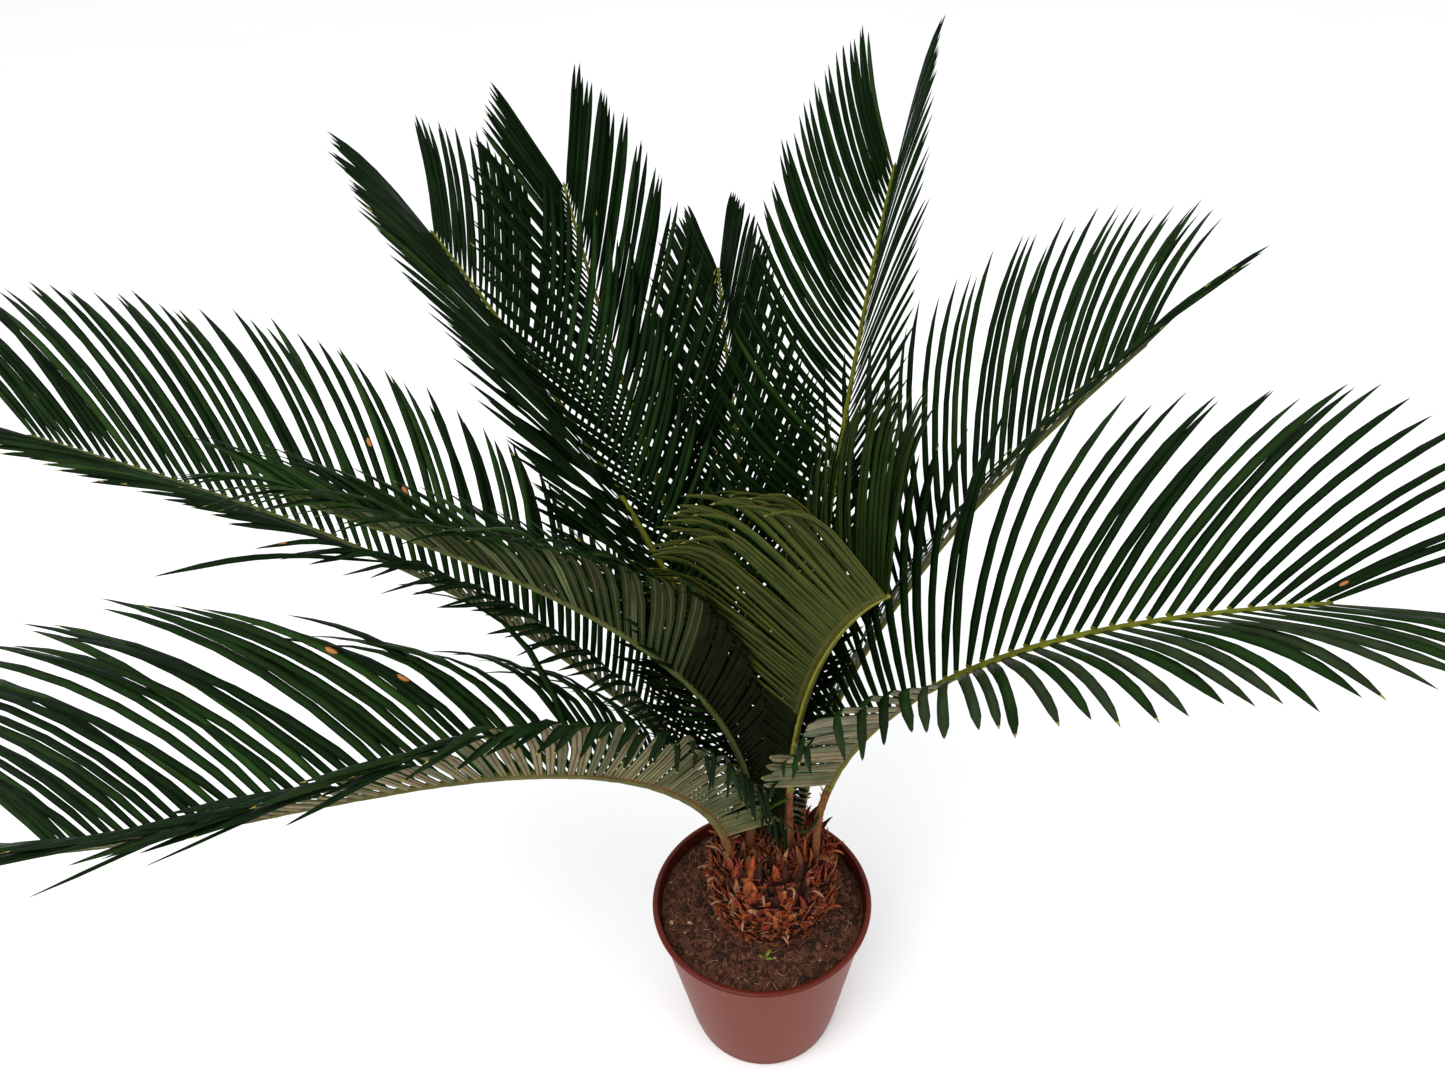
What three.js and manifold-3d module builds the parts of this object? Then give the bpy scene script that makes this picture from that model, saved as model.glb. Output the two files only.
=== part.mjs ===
// Potted sago palm: a thin-walled nursery pot, its compost, a squat scaly trunk and ten arching fronds.
// Millimetres, +Z up. The origin is the middle of the pot's flat underside, and -Y is the side that
// the young pale frond leans to. Headings are degrees round +Z, counted from +X towards +Y.
import * as THREE from 'three';
import { mergeVertices } from 'three/addons/utils/BufferGeometryUtils.js';
import Module from 'manifold-3d';

const wasm = await Module();
wasm.setup();

// Driving dimensions
const CLEARANCE = 0.3;
const POT = {
  height: 109, rimRadius: 65, footRadius: 45, wall: 1.6, floor: 2.4, footRound: 4, bead: 1.7, sides: 40,
};
const SOIL = { top: 102, lump: 1.6, seatRadius: 42.5, rings: 3 };
const TRUNK = { height: 61, sides: 26, relief: 1.5 };
const CROWN = { x: 7, y: 3, z: 150 };
const STALK = {
  leafless: 0.13, flare: 0.1,
  baseHalfWidth: 3.6, halfWidth: 2.6, endHalfWidth: 0.9, height: 4.6, endHeight: 1.9,
};
const LEAF = { pitch: 9.6, width: 7.2, fill: 0.7, thickness: 1.3, slimness: 100, bendAt: 0.52 };

// Leaflets are short beside the stalk, full from fullBy of the blade, and lose endLoss of it by the end
const LEAF_LENGTHS = { first: 0.3, fullBy: 0.4, lessFrom: 0.7, endLoss: 0.34 };

// Radius of the trunk at parts of its height: a barrel with broad shoulders under a low dome
const TRUNK_OUTLINE = [
  [0, 34], [0.1, 37.5], [0.28, 39.5], [0.5, 38.5], [0.7, 36.5], [0.84, 32.5], [0.93, 26], [0.98, 15],
];

// Heights of the rings of scales, as shares of the trunk's height
const TRUNK_RINGS = [0, 0.06, 0.14, 0.23, 0.33, 0.43, 0.53, 0.63, 0.73, 0.82, 0.9, 0.96];

// Each frond: heading and sweep round the trunk, lift at the base, droop from base to end, how soon it
// bends, length, seat on the crown as heading and radius, V of its leaflets at the base and further out,
// roll about its own rib, and the length and spread of the leaflets from base to end. hook bends a
// leaflet forward, curl bends it back and sag lowers it.
const USUAL = { spread: [78, 20], closing: 0.9, hook: 0.15, curl: 0.12, sag: 0.05 };
const FRONDS = [
  { name: 'frond_young', heading: 302, sweep: 5, lift: 94, droop: 57, bend: 0.6, length: 256,
    seat: [325, 12], vee: [50, 50], roll: 0, leaf: 104, spread: [85, 62], curl: 0.3 },
  { name: 'frond_front_right', heading: 340, sweep: 0, lift: 94, droop: 76, bend: 1.5, length: 335,
    seat: [341, 26], vee: [72, 32], roll: -18, leaf: 124, spread: [78, 28], closing: 1.1 },
  { name: 'frond_front_left', heading: 200, sweep: -27, lift: 89, droop: 100, bend: 2.5, length: 393,
    seat: [201, 26], vee: [56, 44], roll: -18, leaf: 172, spread: [78, 24], closing: 0.7, hook: 0.26 },
  { name: 'frond_mid_left', heading: 196, sweep: -18, lift: 101, droop: 74, bend: 1.6, length: 352,
    seat: [196, 15], vee: [52, 48], roll: -22, leaf: 110, spread: [78, 30] },
  { name: 'frond_long_left', heading: 168, sweep: 2, lift: 76, droop: 59, bend: 2.2, length: 450,
    seat: [165, 22], vee: [42, 42], roll: -3, leaf: 150, closing: 0.7, hook: 0.28 },
  { name: 'frond_tall_right', heading: 60, sweep: -2, lift: 77, droop: 19, bend: 0.4, length: 352,
    seat: [30, 8], vee: [52, 52], roll: 18, leaf: 112 },
  { name: 'frond_upper_left', heading: 135, sweep: 2, lift: 97, droop: 59, bend: 2.3, length: 376,
    seat: [138, 21], vee: [48, 48], roll: 0, leaf: 118 },
  { name: 'frond_upper_right', heading: 22, sweep: -1, lift: 90, droop: 56, bend: 1.6, length: 324,
    seat: [18, 17], vee: [50, 50], roll: 14, leaf: 134, spread: [78, 24] },
  { name: 'frond_back', heading: 98, sweep: -6, lift: 82, droop: 50, bend: 1.6, length: 330,
    seat: [78, 17], vee: [50, 50], roll: 18, leaf: 88 },
  { name: 'frond_back_left', heading: 123, sweep: -13, lift: 89, droop: 37, bend: 4.8, length: 372,
    seat: [118, 8], vee: [50, 50], roll: 12, leaf: 104 },
];

// The V of the leaflets has settled this far along the blade
const VEE_SETTLES = 0.6;

// Shares of its full length that a leaflet may be cut back to where the crown is crowded
const REACHES = [1, 0.85, 0.7, 0.55, 0.4];

// Leaflets further apart than NEAR can't touch; a shared volume under TOUCHING is rounding
const NEAR = 9;
const TOUCHING = 1e-4;

const green = new THREE.MeshStandardMaterial({ color: 0x1f4a22, roughness: 0.45 });
const paleGreen = new THREE.MeshStandardMaterial({ color: 0x77883c, roughness: 0.5 });
const brown = new THREE.MeshStandardMaterial({ color: 0x7a4526, roughness: 0.9 });
const compost = new THREE.MeshStandardMaterial({ color: 0x3d2a20, roughness: 1 });
const terracotta = new THREE.MeshStandardMaterial({ color: 0xa0584a, roughness: 0.3 });

const radians = THREE.MathUtils.degToRad;
const { lerp } = THREE.MathUtils;

// Solids: joined, cut and compared as closed bodies

function toSolid(geometry) {
  const bare = geometry.clone();
  bare.deleteAttribute('normal');
  bare.deleteAttribute('uv');
  const merged = mergeVertices(bare, 1e-4);
  return new wasm.Manifold(new wasm.Mesh({
    numProp: 3,
    vertProperties: new Float32Array(merged.attributes.position.array),
    triVerts: new Uint32Array(merged.index.array),
  }));
}

function toGeometry(solid) {
  const { numProp, vertProperties, triVerts } = solid.getMesh();
  const geometry = new THREE.BufferGeometry();
  geometry.setAttribute('position', new THREE.BufferAttribute(new Float32Array(vertProperties), numProp));
  geometry.setIndex(new THREE.BufferAttribute(new Uint32Array(triVerts), 1));
  geometry.computeVertexNormals();
  return geometry;
}

function indexed(points, triangles) {
  const geometry = new THREE.BufferGeometry().setFromPoints(points);
  geometry.setIndex(triangles);
  return geometry;
}

function named(name, geometry, material) {
  const mesh = new THREE.Mesh(geometry, material);
  mesh.name = name;
  return mesh;
}

// Pot: one thin shell turned round the axis, with a rounded foot and a rolled rim

function potRadius(z) {
  return lerp(POT.footRadius, POT.rimRadius - POT.bead, z / POT.height);
}

function potGeometry() {
  const { height, wall, floor, footRound, bead, sides } = POT;
  const outline = new THREE.Path();
  outline.moveTo(0, 0);
  outline.lineTo(potRadius(0) - footRound, 0);
  outline.quadraticCurveTo(potRadius(0), 0, potRadius(footRound), footRound);
  const beadLow = height - 2 * bead;
  outline.lineTo(potRadius(beadLow), beadLow);
  outline.absarc(potRadius(height), height - bead, bead, -Math.PI / 2, Math.PI / 2, false);
  outline.lineTo(potRadius(height) - wall, height);
  outline.lineTo(potRadius(floor) - wall, floor);
  outline.lineTo(0, floor);
  const points = outline.getPoints(4);
  const profile = points.filter((point, i) => i === 0 || point.distanceTo(points[i - 1]) > 0.01);
  return standing(new THREE.LatheGeometry(profile, sides));
}

// A lathe turns about Y; this stands it on Z
function standing(geometry) {
  return geometry.rotateX(Math.PI / 2);
}

// Compost: fills the pot to just under the rim, flat where the trunk stands and lumpy around it

function soilGeometry() {
  const { top, lump, seatRadius, rings } = SOIL;
  const low = POT.floor + CLEARANCE;
  const inner = (z) => potRadius(z) - POT.wall - CLEARANCE;
  const outline = [[0, low], [inner(low), low]];
  for (let ring = rings; ring >= 0; ring -= 1) {
    outline.push([lerp(seatRadius, inner(top), ring / rings), top]);
  }
  outline.push([0, top]);
  const profile = outline.map(([radius, z]) => new THREE.Vector2(radius, z));
  const geometry = standing(new THREE.LatheGeometry(profile, POT.sides));
  const { position } = geometry.attributes;
  for (let i = 0; i < position.count; i += 1) {
    const radius = Math.hypot(position.getX(i), position.getY(i));
    const heading = Math.atan2(position.getY(i), position.getX(i));
    if (position.getZ(i) > top - 0.01 && radius > seatRadius + 0.01) {
      const wave = Math.sin(7 * heading + radius) * Math.cos(11 * heading - 0.6 * radius);
      position.setZ(i, top + lump * wave);
    }
  }
  return geometry;
}

// Trunk: a barrel of staggered blunt scales, cut flat at the compost

// A point at a heading and radius from the trunk's own axis
function offAxis(heading, radius, z) {
  return new THREE.Vector3(CROWN.x + radius * Math.cos(heading), CROWN.y + radius * Math.sin(heading), z);
}

function trunkOutline(part) {
  let k = 1;
  while (k < TRUNK_OUTLINE.length - 1 && TRUNK_OUTLINE[k][0] < part) k += 1;
  const [[lowPart, lowRadius], [highPart, highRadius]] = [TRUNK_OUTLINE[k - 1], TRUNK_OUTLINE[k]];
  return lerp(lowRadius, highRadius, (part - lowPart) / (highPart - lowPart));
}

function trunkGeometry(grow = 0) {
  const { height, sides, relief } = TRUNK;
  const foot = SOIL.top + CLEARANCE - grow;
  const head = SOIL.top + CLEARANCE + height + grow;
  const points = [];
  const triangles = [];
  TRUNK_RINGS.forEach((part, ring) => {
    const z = lerp(foot, head, part);
    for (let i = 0; i < sides; i += 1) {
      const scale = (i + ring) % 2 === 0 ? relief : -relief / 2;
      const radius = trunkOutline(part) + (ring === 0 ? 0 : scale) + grow;
      points.push(offAxis((2 * Math.PI * i) / sides, radius, z));
    }
  });
  const bottom = points.push(offAxis(0, 0, foot)) - 1;
  const summit = points.push(offAxis(0, 0, head)) - 1;
  const last = (TRUNK_RINGS.length - 1) * sides;
  for (let i = 0; i < sides; i += 1) {
    const next = (i + 1) % sides;
    for (let ring = 0; ring < TRUNK_RINGS.length - 1; ring += 1) {
      const low = ring * sides;
      const high = low + sides;
      triangles.push(low + i, low + next, high + next, low + i, high + next, high + i);
    }
    triangles.push(bottom, next, i, summit, last + i, last + next);
  }
  return indexed(points, triangles);
}

// Fronds: a rib that arches by its lift, droop and bend, with leaflets out of both its sides

function ribFrame(size, u) {
  const tilt = radians(size.lift - size.droop * (1 - (1 - u) ** size.bend));
  const heading = radians(size.heading + size.sweep * u * u);
  const roll = radians(size.roll);
  const along = new THREE.Vector3(
    Math.cos(tilt) * Math.cos(heading), Math.cos(tilt) * Math.sin(heading), Math.sin(tilt));
  const level = new THREE.Vector3(Math.sin(heading), -Math.cos(heading), 0);
  const top = level.clone().cross(along);
  const across = level.clone().multiplyScalar(Math.cos(roll)).addScaledVector(top, Math.sin(roll));
  const up = top.multiplyScalar(Math.cos(roll)).addScaledVector(level, -Math.sin(roll));
  return { along, across, up };
}

function ribPoints(size, steps = 120) {
  const [seatHeading, seatRadius] = size.seat;
  const point = offAxis(radians(seatHeading), seatRadius, CROWN.z);
  const points = [point.clone()];
  for (let i = 0; i < steps; i += 1) {
    point.addScaledVector(ribFrame(size, (i + 0.5) / steps).along, size.length / steps);
    points.push(point.clone());
  }
  return points;
}

function stationAt(size, points, u) {
  const place = u * (points.length - 1);
  const index = Math.min(points.length - 2, Math.floor(place));
  const point = points[index].clone().lerp(points[index + 1], place - index);
  return { point, u, ...ribFrame(size, u) };
}

function ribHalfWidth(u) {
  const flare = Math.max(0, 1 - u / STALK.flare) ** 2;
  return lerp(STALK.halfWidth, STALK.endHalfWidth, u) + flare * (STALK.baseHalfWidth - STALK.halfWidth);
}

// The four corners of the rib at a station: right upper, right lower, left lower, left upper
function ribCorners({ point, across, up, u }) {
  const half = ribHalfWidth(u);
  const rise = lerp(STALK.height, STALK.endHeight, u) / 2;
  return [[1, 1], [1, -1], [-1, -1], [-1, 1]].map(([side, face]) => point.clone()
    .addScaledVector(across, side * half).addScaledVector(up, face * rise));
}

// w is a leaflet's place along the blade: 0 beside the stalk, 1 at the end of the frond
function leafLength(size, w) {
  const { first, fullBy, lessFrom, endLoss } = LEAF_LENGTHS;
  const rise = lerp(first, 1, Math.sin((Math.PI / 2) * Math.min(1, w / fullBy)));
  const fall = 1 - endLoss * (Math.max(0, w - lessFrom) / (1 - lessFrom)) ** 2;
  return size.leaf * rise * fall;
}

function leafSwing(size, w) {
  return radians(lerp(size.spread[0], size.spread[1], w ** size.closing));
}

function leafVee(size, w) {
  return radians(lerp(size.vee[0], size.vee[1], Math.min(1, w / VEE_SETTLES)));
}

// The point t of the way along a leaflet; side is 1 on the right of the rib and -1 on the left
function leafPoint(size, station, side, w, reach, t) {
  const { point, along, across, up } = station;
  const swing = leafSwing(size, w);
  const vee = leafVee(size, w);
  const length = leafLength(size, w) * reach;
  return point.clone()
    .addScaledVector(along, length * (t * Math.cos(swing) + size.hook * t * t))
    .addScaledVector(across, length * t * Math.sin(swing) * side * Math.cos(vee))
    .addScaledVector(up, length * (t * Math.sin(swing) * Math.sin(vee) - size.curl * t ** 3))
    .add(new THREE.Vector3(0, 0, -length * size.sag * t * t));
}

// One leaflet: from a stretch of the rib's side over a flat middle section to a point
function leafShape(size, station, side, w, reach, root, thicken = 0) {
  const { bendAt, width, fill, pitch, thickness, slimness } = LEAF;
  const middle = leafPoint(size, station, side, w, reach, bendAt);
  const tip = leafPoint(size, station, side, w, reach, 1);
  const run = tip.clone().sub(station.point).normalize();
  const edge = station.along.clone().addScaledVector(run, -station.along.dot(run)).normalize();
  const face = edge.clone().cross(run).multiplyScalar(-side);
  const halfWidth = Math.min(width, fill * pitch * Math.sin(leafSwing(size, w))) / 2 + thicken;
  const halfThick = Math.max(thickness, leafLength(size, w) / slimness) / 2 + thicken;
  const corner = (back, upper) => middle.clone()
    .addScaledVector(edge, back * halfWidth).addScaledVector(face, upper * halfThick);
  const section = [corner(-1, side), corner(-1, -side), corner(1, -side), corner(1, side)];
  return { root, section, tip: tip.addScaledVector(run, thicken) };
}

// Triangles from a ring of four points out to the next ring, and from the last ring to the tip
function leafTriangles(rootIds, sectionIds, tipId) {
  const triangles = [];
  for (let i = 0; i < 4; i += 1) {
    const next = (i + 1) % 4;
    triangles.push(rootIds[i], rootIds[next], sectionIds[next], rootIds[i], sectionIds[next], sectionIds[i]);
    triangles.push(sectionIds[i], sectionIds[next], tipId);
  }
  return triangles;
}

function leafSolid(shape) {
  const points = [...shape.root, ...shape.section, shape.tip];
  const triangles = [...leafTriangles([0, 1, 2, 3], [4, 5, 6, 7], 8), 0, 2, 1, 0, 3, 2];
  return toSolid(indexed(points, triangles));
}

// The least distance between two straight stretches
function stretchDistance(a0, a1, b0, b1) {
  const u = a1.clone().sub(a0);
  const v = b1.clone().sub(b0);
  const gap = a0.clone().sub(b0);
  const [uu, uv, vv, ug, vg] = [u.dot(u), u.dot(v), v.dot(v), u.dot(gap), v.dot(gap)];
  const clamp = (value) => Math.min(1, Math.max(0, value));
  const across = uu * vv - uv * uv;
  let s = across > 1e-6 ? clamp((uv * vg - vv * ug) / across) : 0;
  const t = clamp((uv * s + vg) / vv);
  s = clamp((uv * t - ug) / uu);
  return gap.addScaledVector(u, s).addScaledVector(v, -t).length();
}

function lineDistance(a, b) {
  let least = Infinity;
  for (let i = 1; i < a.length; i += 1) {
    for (let j = 1; j < b.length; j += 1) {
      least = Math.min(least, stretchDistance(a[i - 1], a[i], b[j - 1], b[j]));
    }
  }
  return least;
}

// A piece of the crown that later leaflets keep clear of
function obstacle(frond, line, solid) {
  return { frond, line, solid, box: new THREE.Box3().setFromPoints(line).expandByScalar(NEAR) };
}

function isClear(line, solid, frond, obstacles) {
  const box = new THREE.Box3().setFromPoints(line);
  return obstacles.every((other) => other.frond === frond
    || !other.box.intersectsBox(box)
    || (!other.always && lineDistance(line, other.line) > NEAR)
    || other.solid.intersect(solid).volume() < TOUCHING);
}

function ribStations(size) {
  const points = ribPoints(size);
  const stalk = [0, 0.25, 0.5, 0.75].map((part) => part * STALK.leafless);
  const count = Math.round((size.length * (1 - STALK.leafless)) / LEAF.pitch);
  const blade = Array.from({ length: count + 1 }, (_, i) => lerp(STALK.leafless, 1, i / count));
  return [...stalk, ...blade].map((u) => stationAt(size, points, u));
}

// The whole frond as one body: the rib's rings, with a leaflet or a plain face on each side between them
function combGeometry(stations, leaves = new Map()) {
  const points = stations.flatMap(ribCorners);
  const triangles = [];
  for (let k = 0; k < stations.length - 1; k += 1) {
    for (let m = 0; m < 4; m += 1) {
      const next = (m + 1) % 4;
      const ids = [4 * k + m, 4 * k + next, 4 * k + 4 + next, 4 * k + 4 + m];
      const shape = m % 2 === 0 ? leaves.get(`${k} ${m === 0 ? 1 : -1}`) : undefined;
      if (shape) {
        const first = points.push(...shape.section, shape.tip) - 5;
        triangles.push(...leafTriangles(ids, [first, first + 1, first + 2, first + 3], first + 4));
      } else {
        triangles.push(ids[0], ids[1], ids[2], ids[0], ids[2], ids[3]);
      }
    }
  }
  const last = 4 * (stations.length - 1);
  triangles.push(0, 2, 1, 0, 3, 2, last, last + 1, last + 2, last, last + 2, last + 3);
  return indexed(points, triangles);
}

// The four corners of the rib's side that a leaflet grows out of
function leafRoot(stations, k, side) {
  const [near, far] = [ribCorners(stations[k]), ribCorners(stations[k + 1])];
  return side === 1 ? [near[0], near[1], far[1], far[0]] : [near[2], near[3], far[3], far[2]];
}

// The longest leaflet that fits at one place, or none
function fittedLeaf(size, stations, k, side, w, obstacles) {
  const [near, far] = [stations[k], stations[k + 1]];
  const station = { ...near, point: near.point.clone().lerp(far.point, 0.5) };
  const root = leafRoot(stations, k, side);
  for (const reach of REACHES) {
    const line = [0, LEAF.bendAt, 1].map((t) => leafPoint(size, station, side, w, reach, t));
    const solid = leafSolid(leafShape(size, station, side, w, reach, root, CLEARANCE));
    if (isClear(line, solid, size.name, obstacles)) {
      return { line, shape: leafShape(size, station, side, w, reach, root) };
    }
  }
  return null;
}

function frondLeaves(size, stations, obstacles) {
  const first = stations.findIndex(({ u }) => u >= STALK.leafless - 1e-9);
  const count = stations.length - 1 - first;
  const leaves = new Map();
  for (let i = 0; i < count; i += 1) {
    for (const side of [1, -1]) {
      const leaf = fittedLeaf(size, stations, first + i, side, (i + 0.5) / count, obstacles);
      if (leaf) {
        leaves.set(`${first + i} ${side}`, leaf.shape);
        obstacles.push(obstacle(size.name, leaf.line, leafSolid(leaf.shape)));
      }
    }
  }
  return leaves;
}

// Assembly

const palm = new THREE.Group();
palm.add(named('pot', potGeometry(), terracotta));
palm.add(named('soil', soilGeometry(), compost));
palm.add(named('trunk', trunkGeometry(), brown));

const trunkSpace = toSolid(trunkGeometry(CLEARANCE));
const sizes = FRONDS.map((frond) => ({ ...USUAL, ...frond }));
const ribs = sizes.map(ribStations);
const obstacles = ribs.map((stations, i) => obstacle(
  sizes[i].name, stations.map(({ point }) => point), toSolid(combGeometry(stations))));
obstacles.push({
  frond: 'trunk',
  always: true,
  solid: trunkSpace,
  box: new THREE.Box3().setFromBufferAttribute(trunkGeometry(CLEARANCE).attributes.position),
});

sizes.forEach((size, i) => {
  const leaves = frondLeaves(size, ribs[i], obstacles);
  const solid = toSolid(combGeometry(ribs[i], leaves)).subtract(trunkSpace);
  palm.add(named(size.name, toGeometry(solid), size.name === 'frond_young' ? paleGreen : green));
});

export default palm;
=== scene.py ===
"""Looks of a potted sago palm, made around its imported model.

The pot is turned, the compost is heaped, the trunk is clad in old leaf bases, and each frond grows from
the same few sizes as its plain solid: a rib that arches by its lift, droop and bend, with leaflets out
of both its sides. The scene is in metres with +Z up, and the origin is under the middle of the pot.
"""

import logging
import math
from collections.abc import Iterable, Sequence
from dataclasses import dataclass, replace
from enum import Enum
from functools import cache
from typing import ClassVar

import bmesh
import bpy
import numpy as np
from mathutils import Matrix, Vector, noise


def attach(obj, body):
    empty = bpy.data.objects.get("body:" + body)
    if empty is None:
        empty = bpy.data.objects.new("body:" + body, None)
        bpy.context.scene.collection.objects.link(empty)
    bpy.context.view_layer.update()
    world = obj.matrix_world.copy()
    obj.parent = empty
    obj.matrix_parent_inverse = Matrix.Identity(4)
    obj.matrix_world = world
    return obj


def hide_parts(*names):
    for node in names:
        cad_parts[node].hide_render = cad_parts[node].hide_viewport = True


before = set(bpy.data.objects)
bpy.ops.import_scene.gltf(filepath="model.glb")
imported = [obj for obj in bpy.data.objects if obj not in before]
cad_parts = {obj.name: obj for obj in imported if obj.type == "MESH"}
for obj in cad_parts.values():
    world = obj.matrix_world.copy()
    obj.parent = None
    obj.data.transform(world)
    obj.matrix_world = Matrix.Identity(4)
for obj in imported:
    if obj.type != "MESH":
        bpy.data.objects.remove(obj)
log = logging.getLogger("sago_palm")

MM = 0.001
SEED = 41
UP = np.array([0, 0, 1])
TURN = 2 * math.pi
RAMP_ENDS = (0.3, 0.7)

Array = np.ndarray
Random = np.random.Generator
Socket = bpy.types.NodeSocket
Pair = tuple[float, float]
Triple = tuple[float, float, float]


# Finishes


class Shader:
    """A material's node tree, built one node at a time around its Principled shader."""

    def __init__(self, name: str) -> None:
        """Starts a material with nothing but its shader.

        Args:
            name: the material's name.
        """
        self.material = bpy.data.materials.new(name)
        self.material.use_nodes = True
        self.tree = self.material.node_tree
        self.surface = self.tree.nodes["Principled BSDF"]

    def add(self, kind: str, values: dict | None = None, **settings) -> bpy.types.Node:
        """Adds a node.

        Args:
            kind: the node's type, without its ShaderNode prefix.
            values: what its sockets hold or are linked to, by socket name or number.
            **settings: the node's own properties.

        Returns:
            The new node.
        """
        node = self.tree.nodes.new("ShaderNode" + kind)
        for key, value in settings.items():
            setattr(node, key, value)
        for key, value in (values or {}).items():
            self.put(node.inputs[key], value)
        return node

    def put(self, socket: Socket, value: object) -> None:
        """Fills a socket.

        Args:
            socket: the input.
            value: the output to link it to, or what it holds.
        """
        if isinstance(value, Socket):
            self.tree.links.new(value, socket)
        else:
            socket.default_value = value

    def place(self, scale: Sequence[float] = (1, 1, 1)) -> Socket:
        """Object coordinates, stretched by a scale along each axis."""
        coordinates = self.add("TexCoord").outputs["Object"]
        return self.add("Mapping", {"Vector": coordinates, "Scale": scale}).outputs["Vector"]

    def noise(self, where: Socket, scale: float, detail: float = 3.0) -> Socket:
        """The value of a noise pattern of that many cells a metre."""
        values = {"Vector": where, "Scale": scale, "Detail": detail}
        return self.add("TexNoise", values).outputs["Fac"]

    def blend(self, factor: Socket, low: Triple, high: Triple) -> Socket:
        """A colour that changes over the middle part of a pattern.

        Args:
            factor: the pattern.
            low: the colour where it is low.
            high: the colour where it is high.

        Returns:
            The colour's socket.
        """
        ramp = self.add("ValToRGB", {"Fac": factor})
        for element, place, colour in zip(ramp.color_ramp.elements, RAMP_ENDS, (low, high)):
            element.position = place
            element.color = (*colour, 1)
        return ramp.outputs["Color"]

    def raise_by(self, height: Socket, strength: float, distance: float,
                 over: Socket | None = None) -> Socket:
        """A bumped normal.

        Args:
            height: the pattern that stands up from the surface.
            strength: how much of it shows, up to 1.
            distance: its height in metres.
            over: another bumped normal, under this one.

        Returns:
            The normal's socket.
        """
        values = {"Height": height, "Strength": strength, "Distance": distance}
        if over is not None:
            values["Normal"] = over
        return self.add("Bump", values).outputs["Normal"]


def shade(colour: Triple, strength: float) -> Triple:
    """The colour made darker or lighter."""
    return tuple(min(1.0, part * strength) for part in colour)


@dataclass(frozen=True)
class Finish:
    """A mottled surface with a fine grain.

    mottle is how far the colour strays, mottle_scale its cells a metre, grain the height of the fine
    bumps in metres, grain_scale their cells a metre, and grain_strength how much of them shows.
    """

    name: str
    colour: Triple
    roughness: float
    specular: float = 0.25
    mottle: float = 0.18
    mottle_scale: float = 90.0
    grain: float = 0.0002
    grain_scale: float = 900.0
    grain_strength: float = 0.6

    def material(self) -> bpy.types.Material:
        """Makes the material."""
        shader = Shader(self.name)
        where = shader.place()
        inputs = shader.surface.inputs
        shader.put(inputs["Base Color"], self.tone(shader, where))
        shader.put(inputs["Normal"], self.relief(shader, where))
        inputs["Roughness"].default_value = self.roughness
        inputs["Specular IOR Level"].default_value = self.specular
        return shader.material

    def tone(self, shader: Shader, where: Socket) -> Socket:
        """The base colour, which strays to both sides of the finish's own."""
        return self.strayed(shader, shader.noise(where, self.mottle_scale))

    def strayed(self, shader: Shader, pattern: Socket) -> Socket:
        """The finish's colour, made darker and lighter by a pattern."""
        return shader.blend(pattern, shade(self.colour, 1 - self.mottle), shade(self.colour, 1 + self.mottle))

    def relief(self, shader: Shader, where: Socket) -> Socket:
        """The normal with the fine grain on it."""
        return shader.raise_by(shader.noise(where, self.grain_scale), self.grain_strength, self.grain)


@dataclass(frozen=True)
class BladeFinish(Finish):
    """A leaflet's face, with parallel veins that run from its root to its tip.

    veins is their number, vein_height how far they stand up in metres and vein_strength how much of it
    shows. vein_tone is how much they lighten the colour, between the strengths dark and pale.
    """

    veins: float = 7.0
    vein_height: float = 0.00012
    vein_strength: float = 0.5
    vein_tone: float = 0.22
    dark: float = 0.6
    pale: float = 1.45

    def wave(self, shader: Shader) -> Socket:
        """A wave that has one crest on each vein, spread evenly over the blade's width.

        Args:
            shader: the material's nodes.

        Returns:
            The socket of its value, from -1 to 1.
        """
        blade = shader.add("UVMap", uv_map="blade").outputs["UV"]
        across = shader.add("SeparateXYZ", {"Vector": blade}).outputs["X"]
        turns = shader.add("Math", {0: across, 1: TURN * self.veins}, operation="MULTIPLY")
        return shader.add("Math", {0: turns.outputs[0]}, operation="SINE").outputs[0]

    def tone(self, shader: Shader, where: Socket) -> Socket:
        """The base colour, mottled and lighter on the veins.

        Args:
            shader: the material's nodes.
            where: the place on the object.

        Returns:
            The colour's socket.
        """
        values = {0: self.wave(shader), 1: self.vein_tone, 2: shader.noise(where, self.mottle_scale)}
        veined = shader.add("Math", values, operation="MULTIPLY_ADD")
        return shader.blend(veined.outputs[0], shade(self.colour, self.dark), shade(self.colour, self.pale))

    def relief(self, shader: Shader, where: Socket) -> Socket:
        """The normal with the veins standing up on it."""
        grained = super().relief(shader, where)
        return shader.raise_by(self.wave(shader), self.vein_strength, self.vein_height, over=grained)


@dataclass(frozen=True)
class FibreFinish(Finish):
    """A dry, fibrous surface, streaked up and down."""

    grain: float = 0.0005
    grain_strength: float = 0.9
    grain_detail: float = 4.0
    stretch: float = 0.22
    streak_scale: float = 500.0
    streak_detail: float = 5.0

    def tone(self, shader: Shader, where: Socket) -> Socket:
        """The base colour, streaked along the fibres."""
        along = shader.place((1, 1, self.stretch))
        return self.strayed(shader, shader.noise(along, self.streak_scale, self.streak_detail))

    def relief(self, shader: Shader, where: Socket) -> Socket:
        """The normal with the fibres on it."""
        fibres = shader.noise(shader.place((1, 1, self.stretch)), self.grain_scale, self.grain_detail)
        return shader.raise_by(fibres, self.grain_strength, self.grain)


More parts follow.
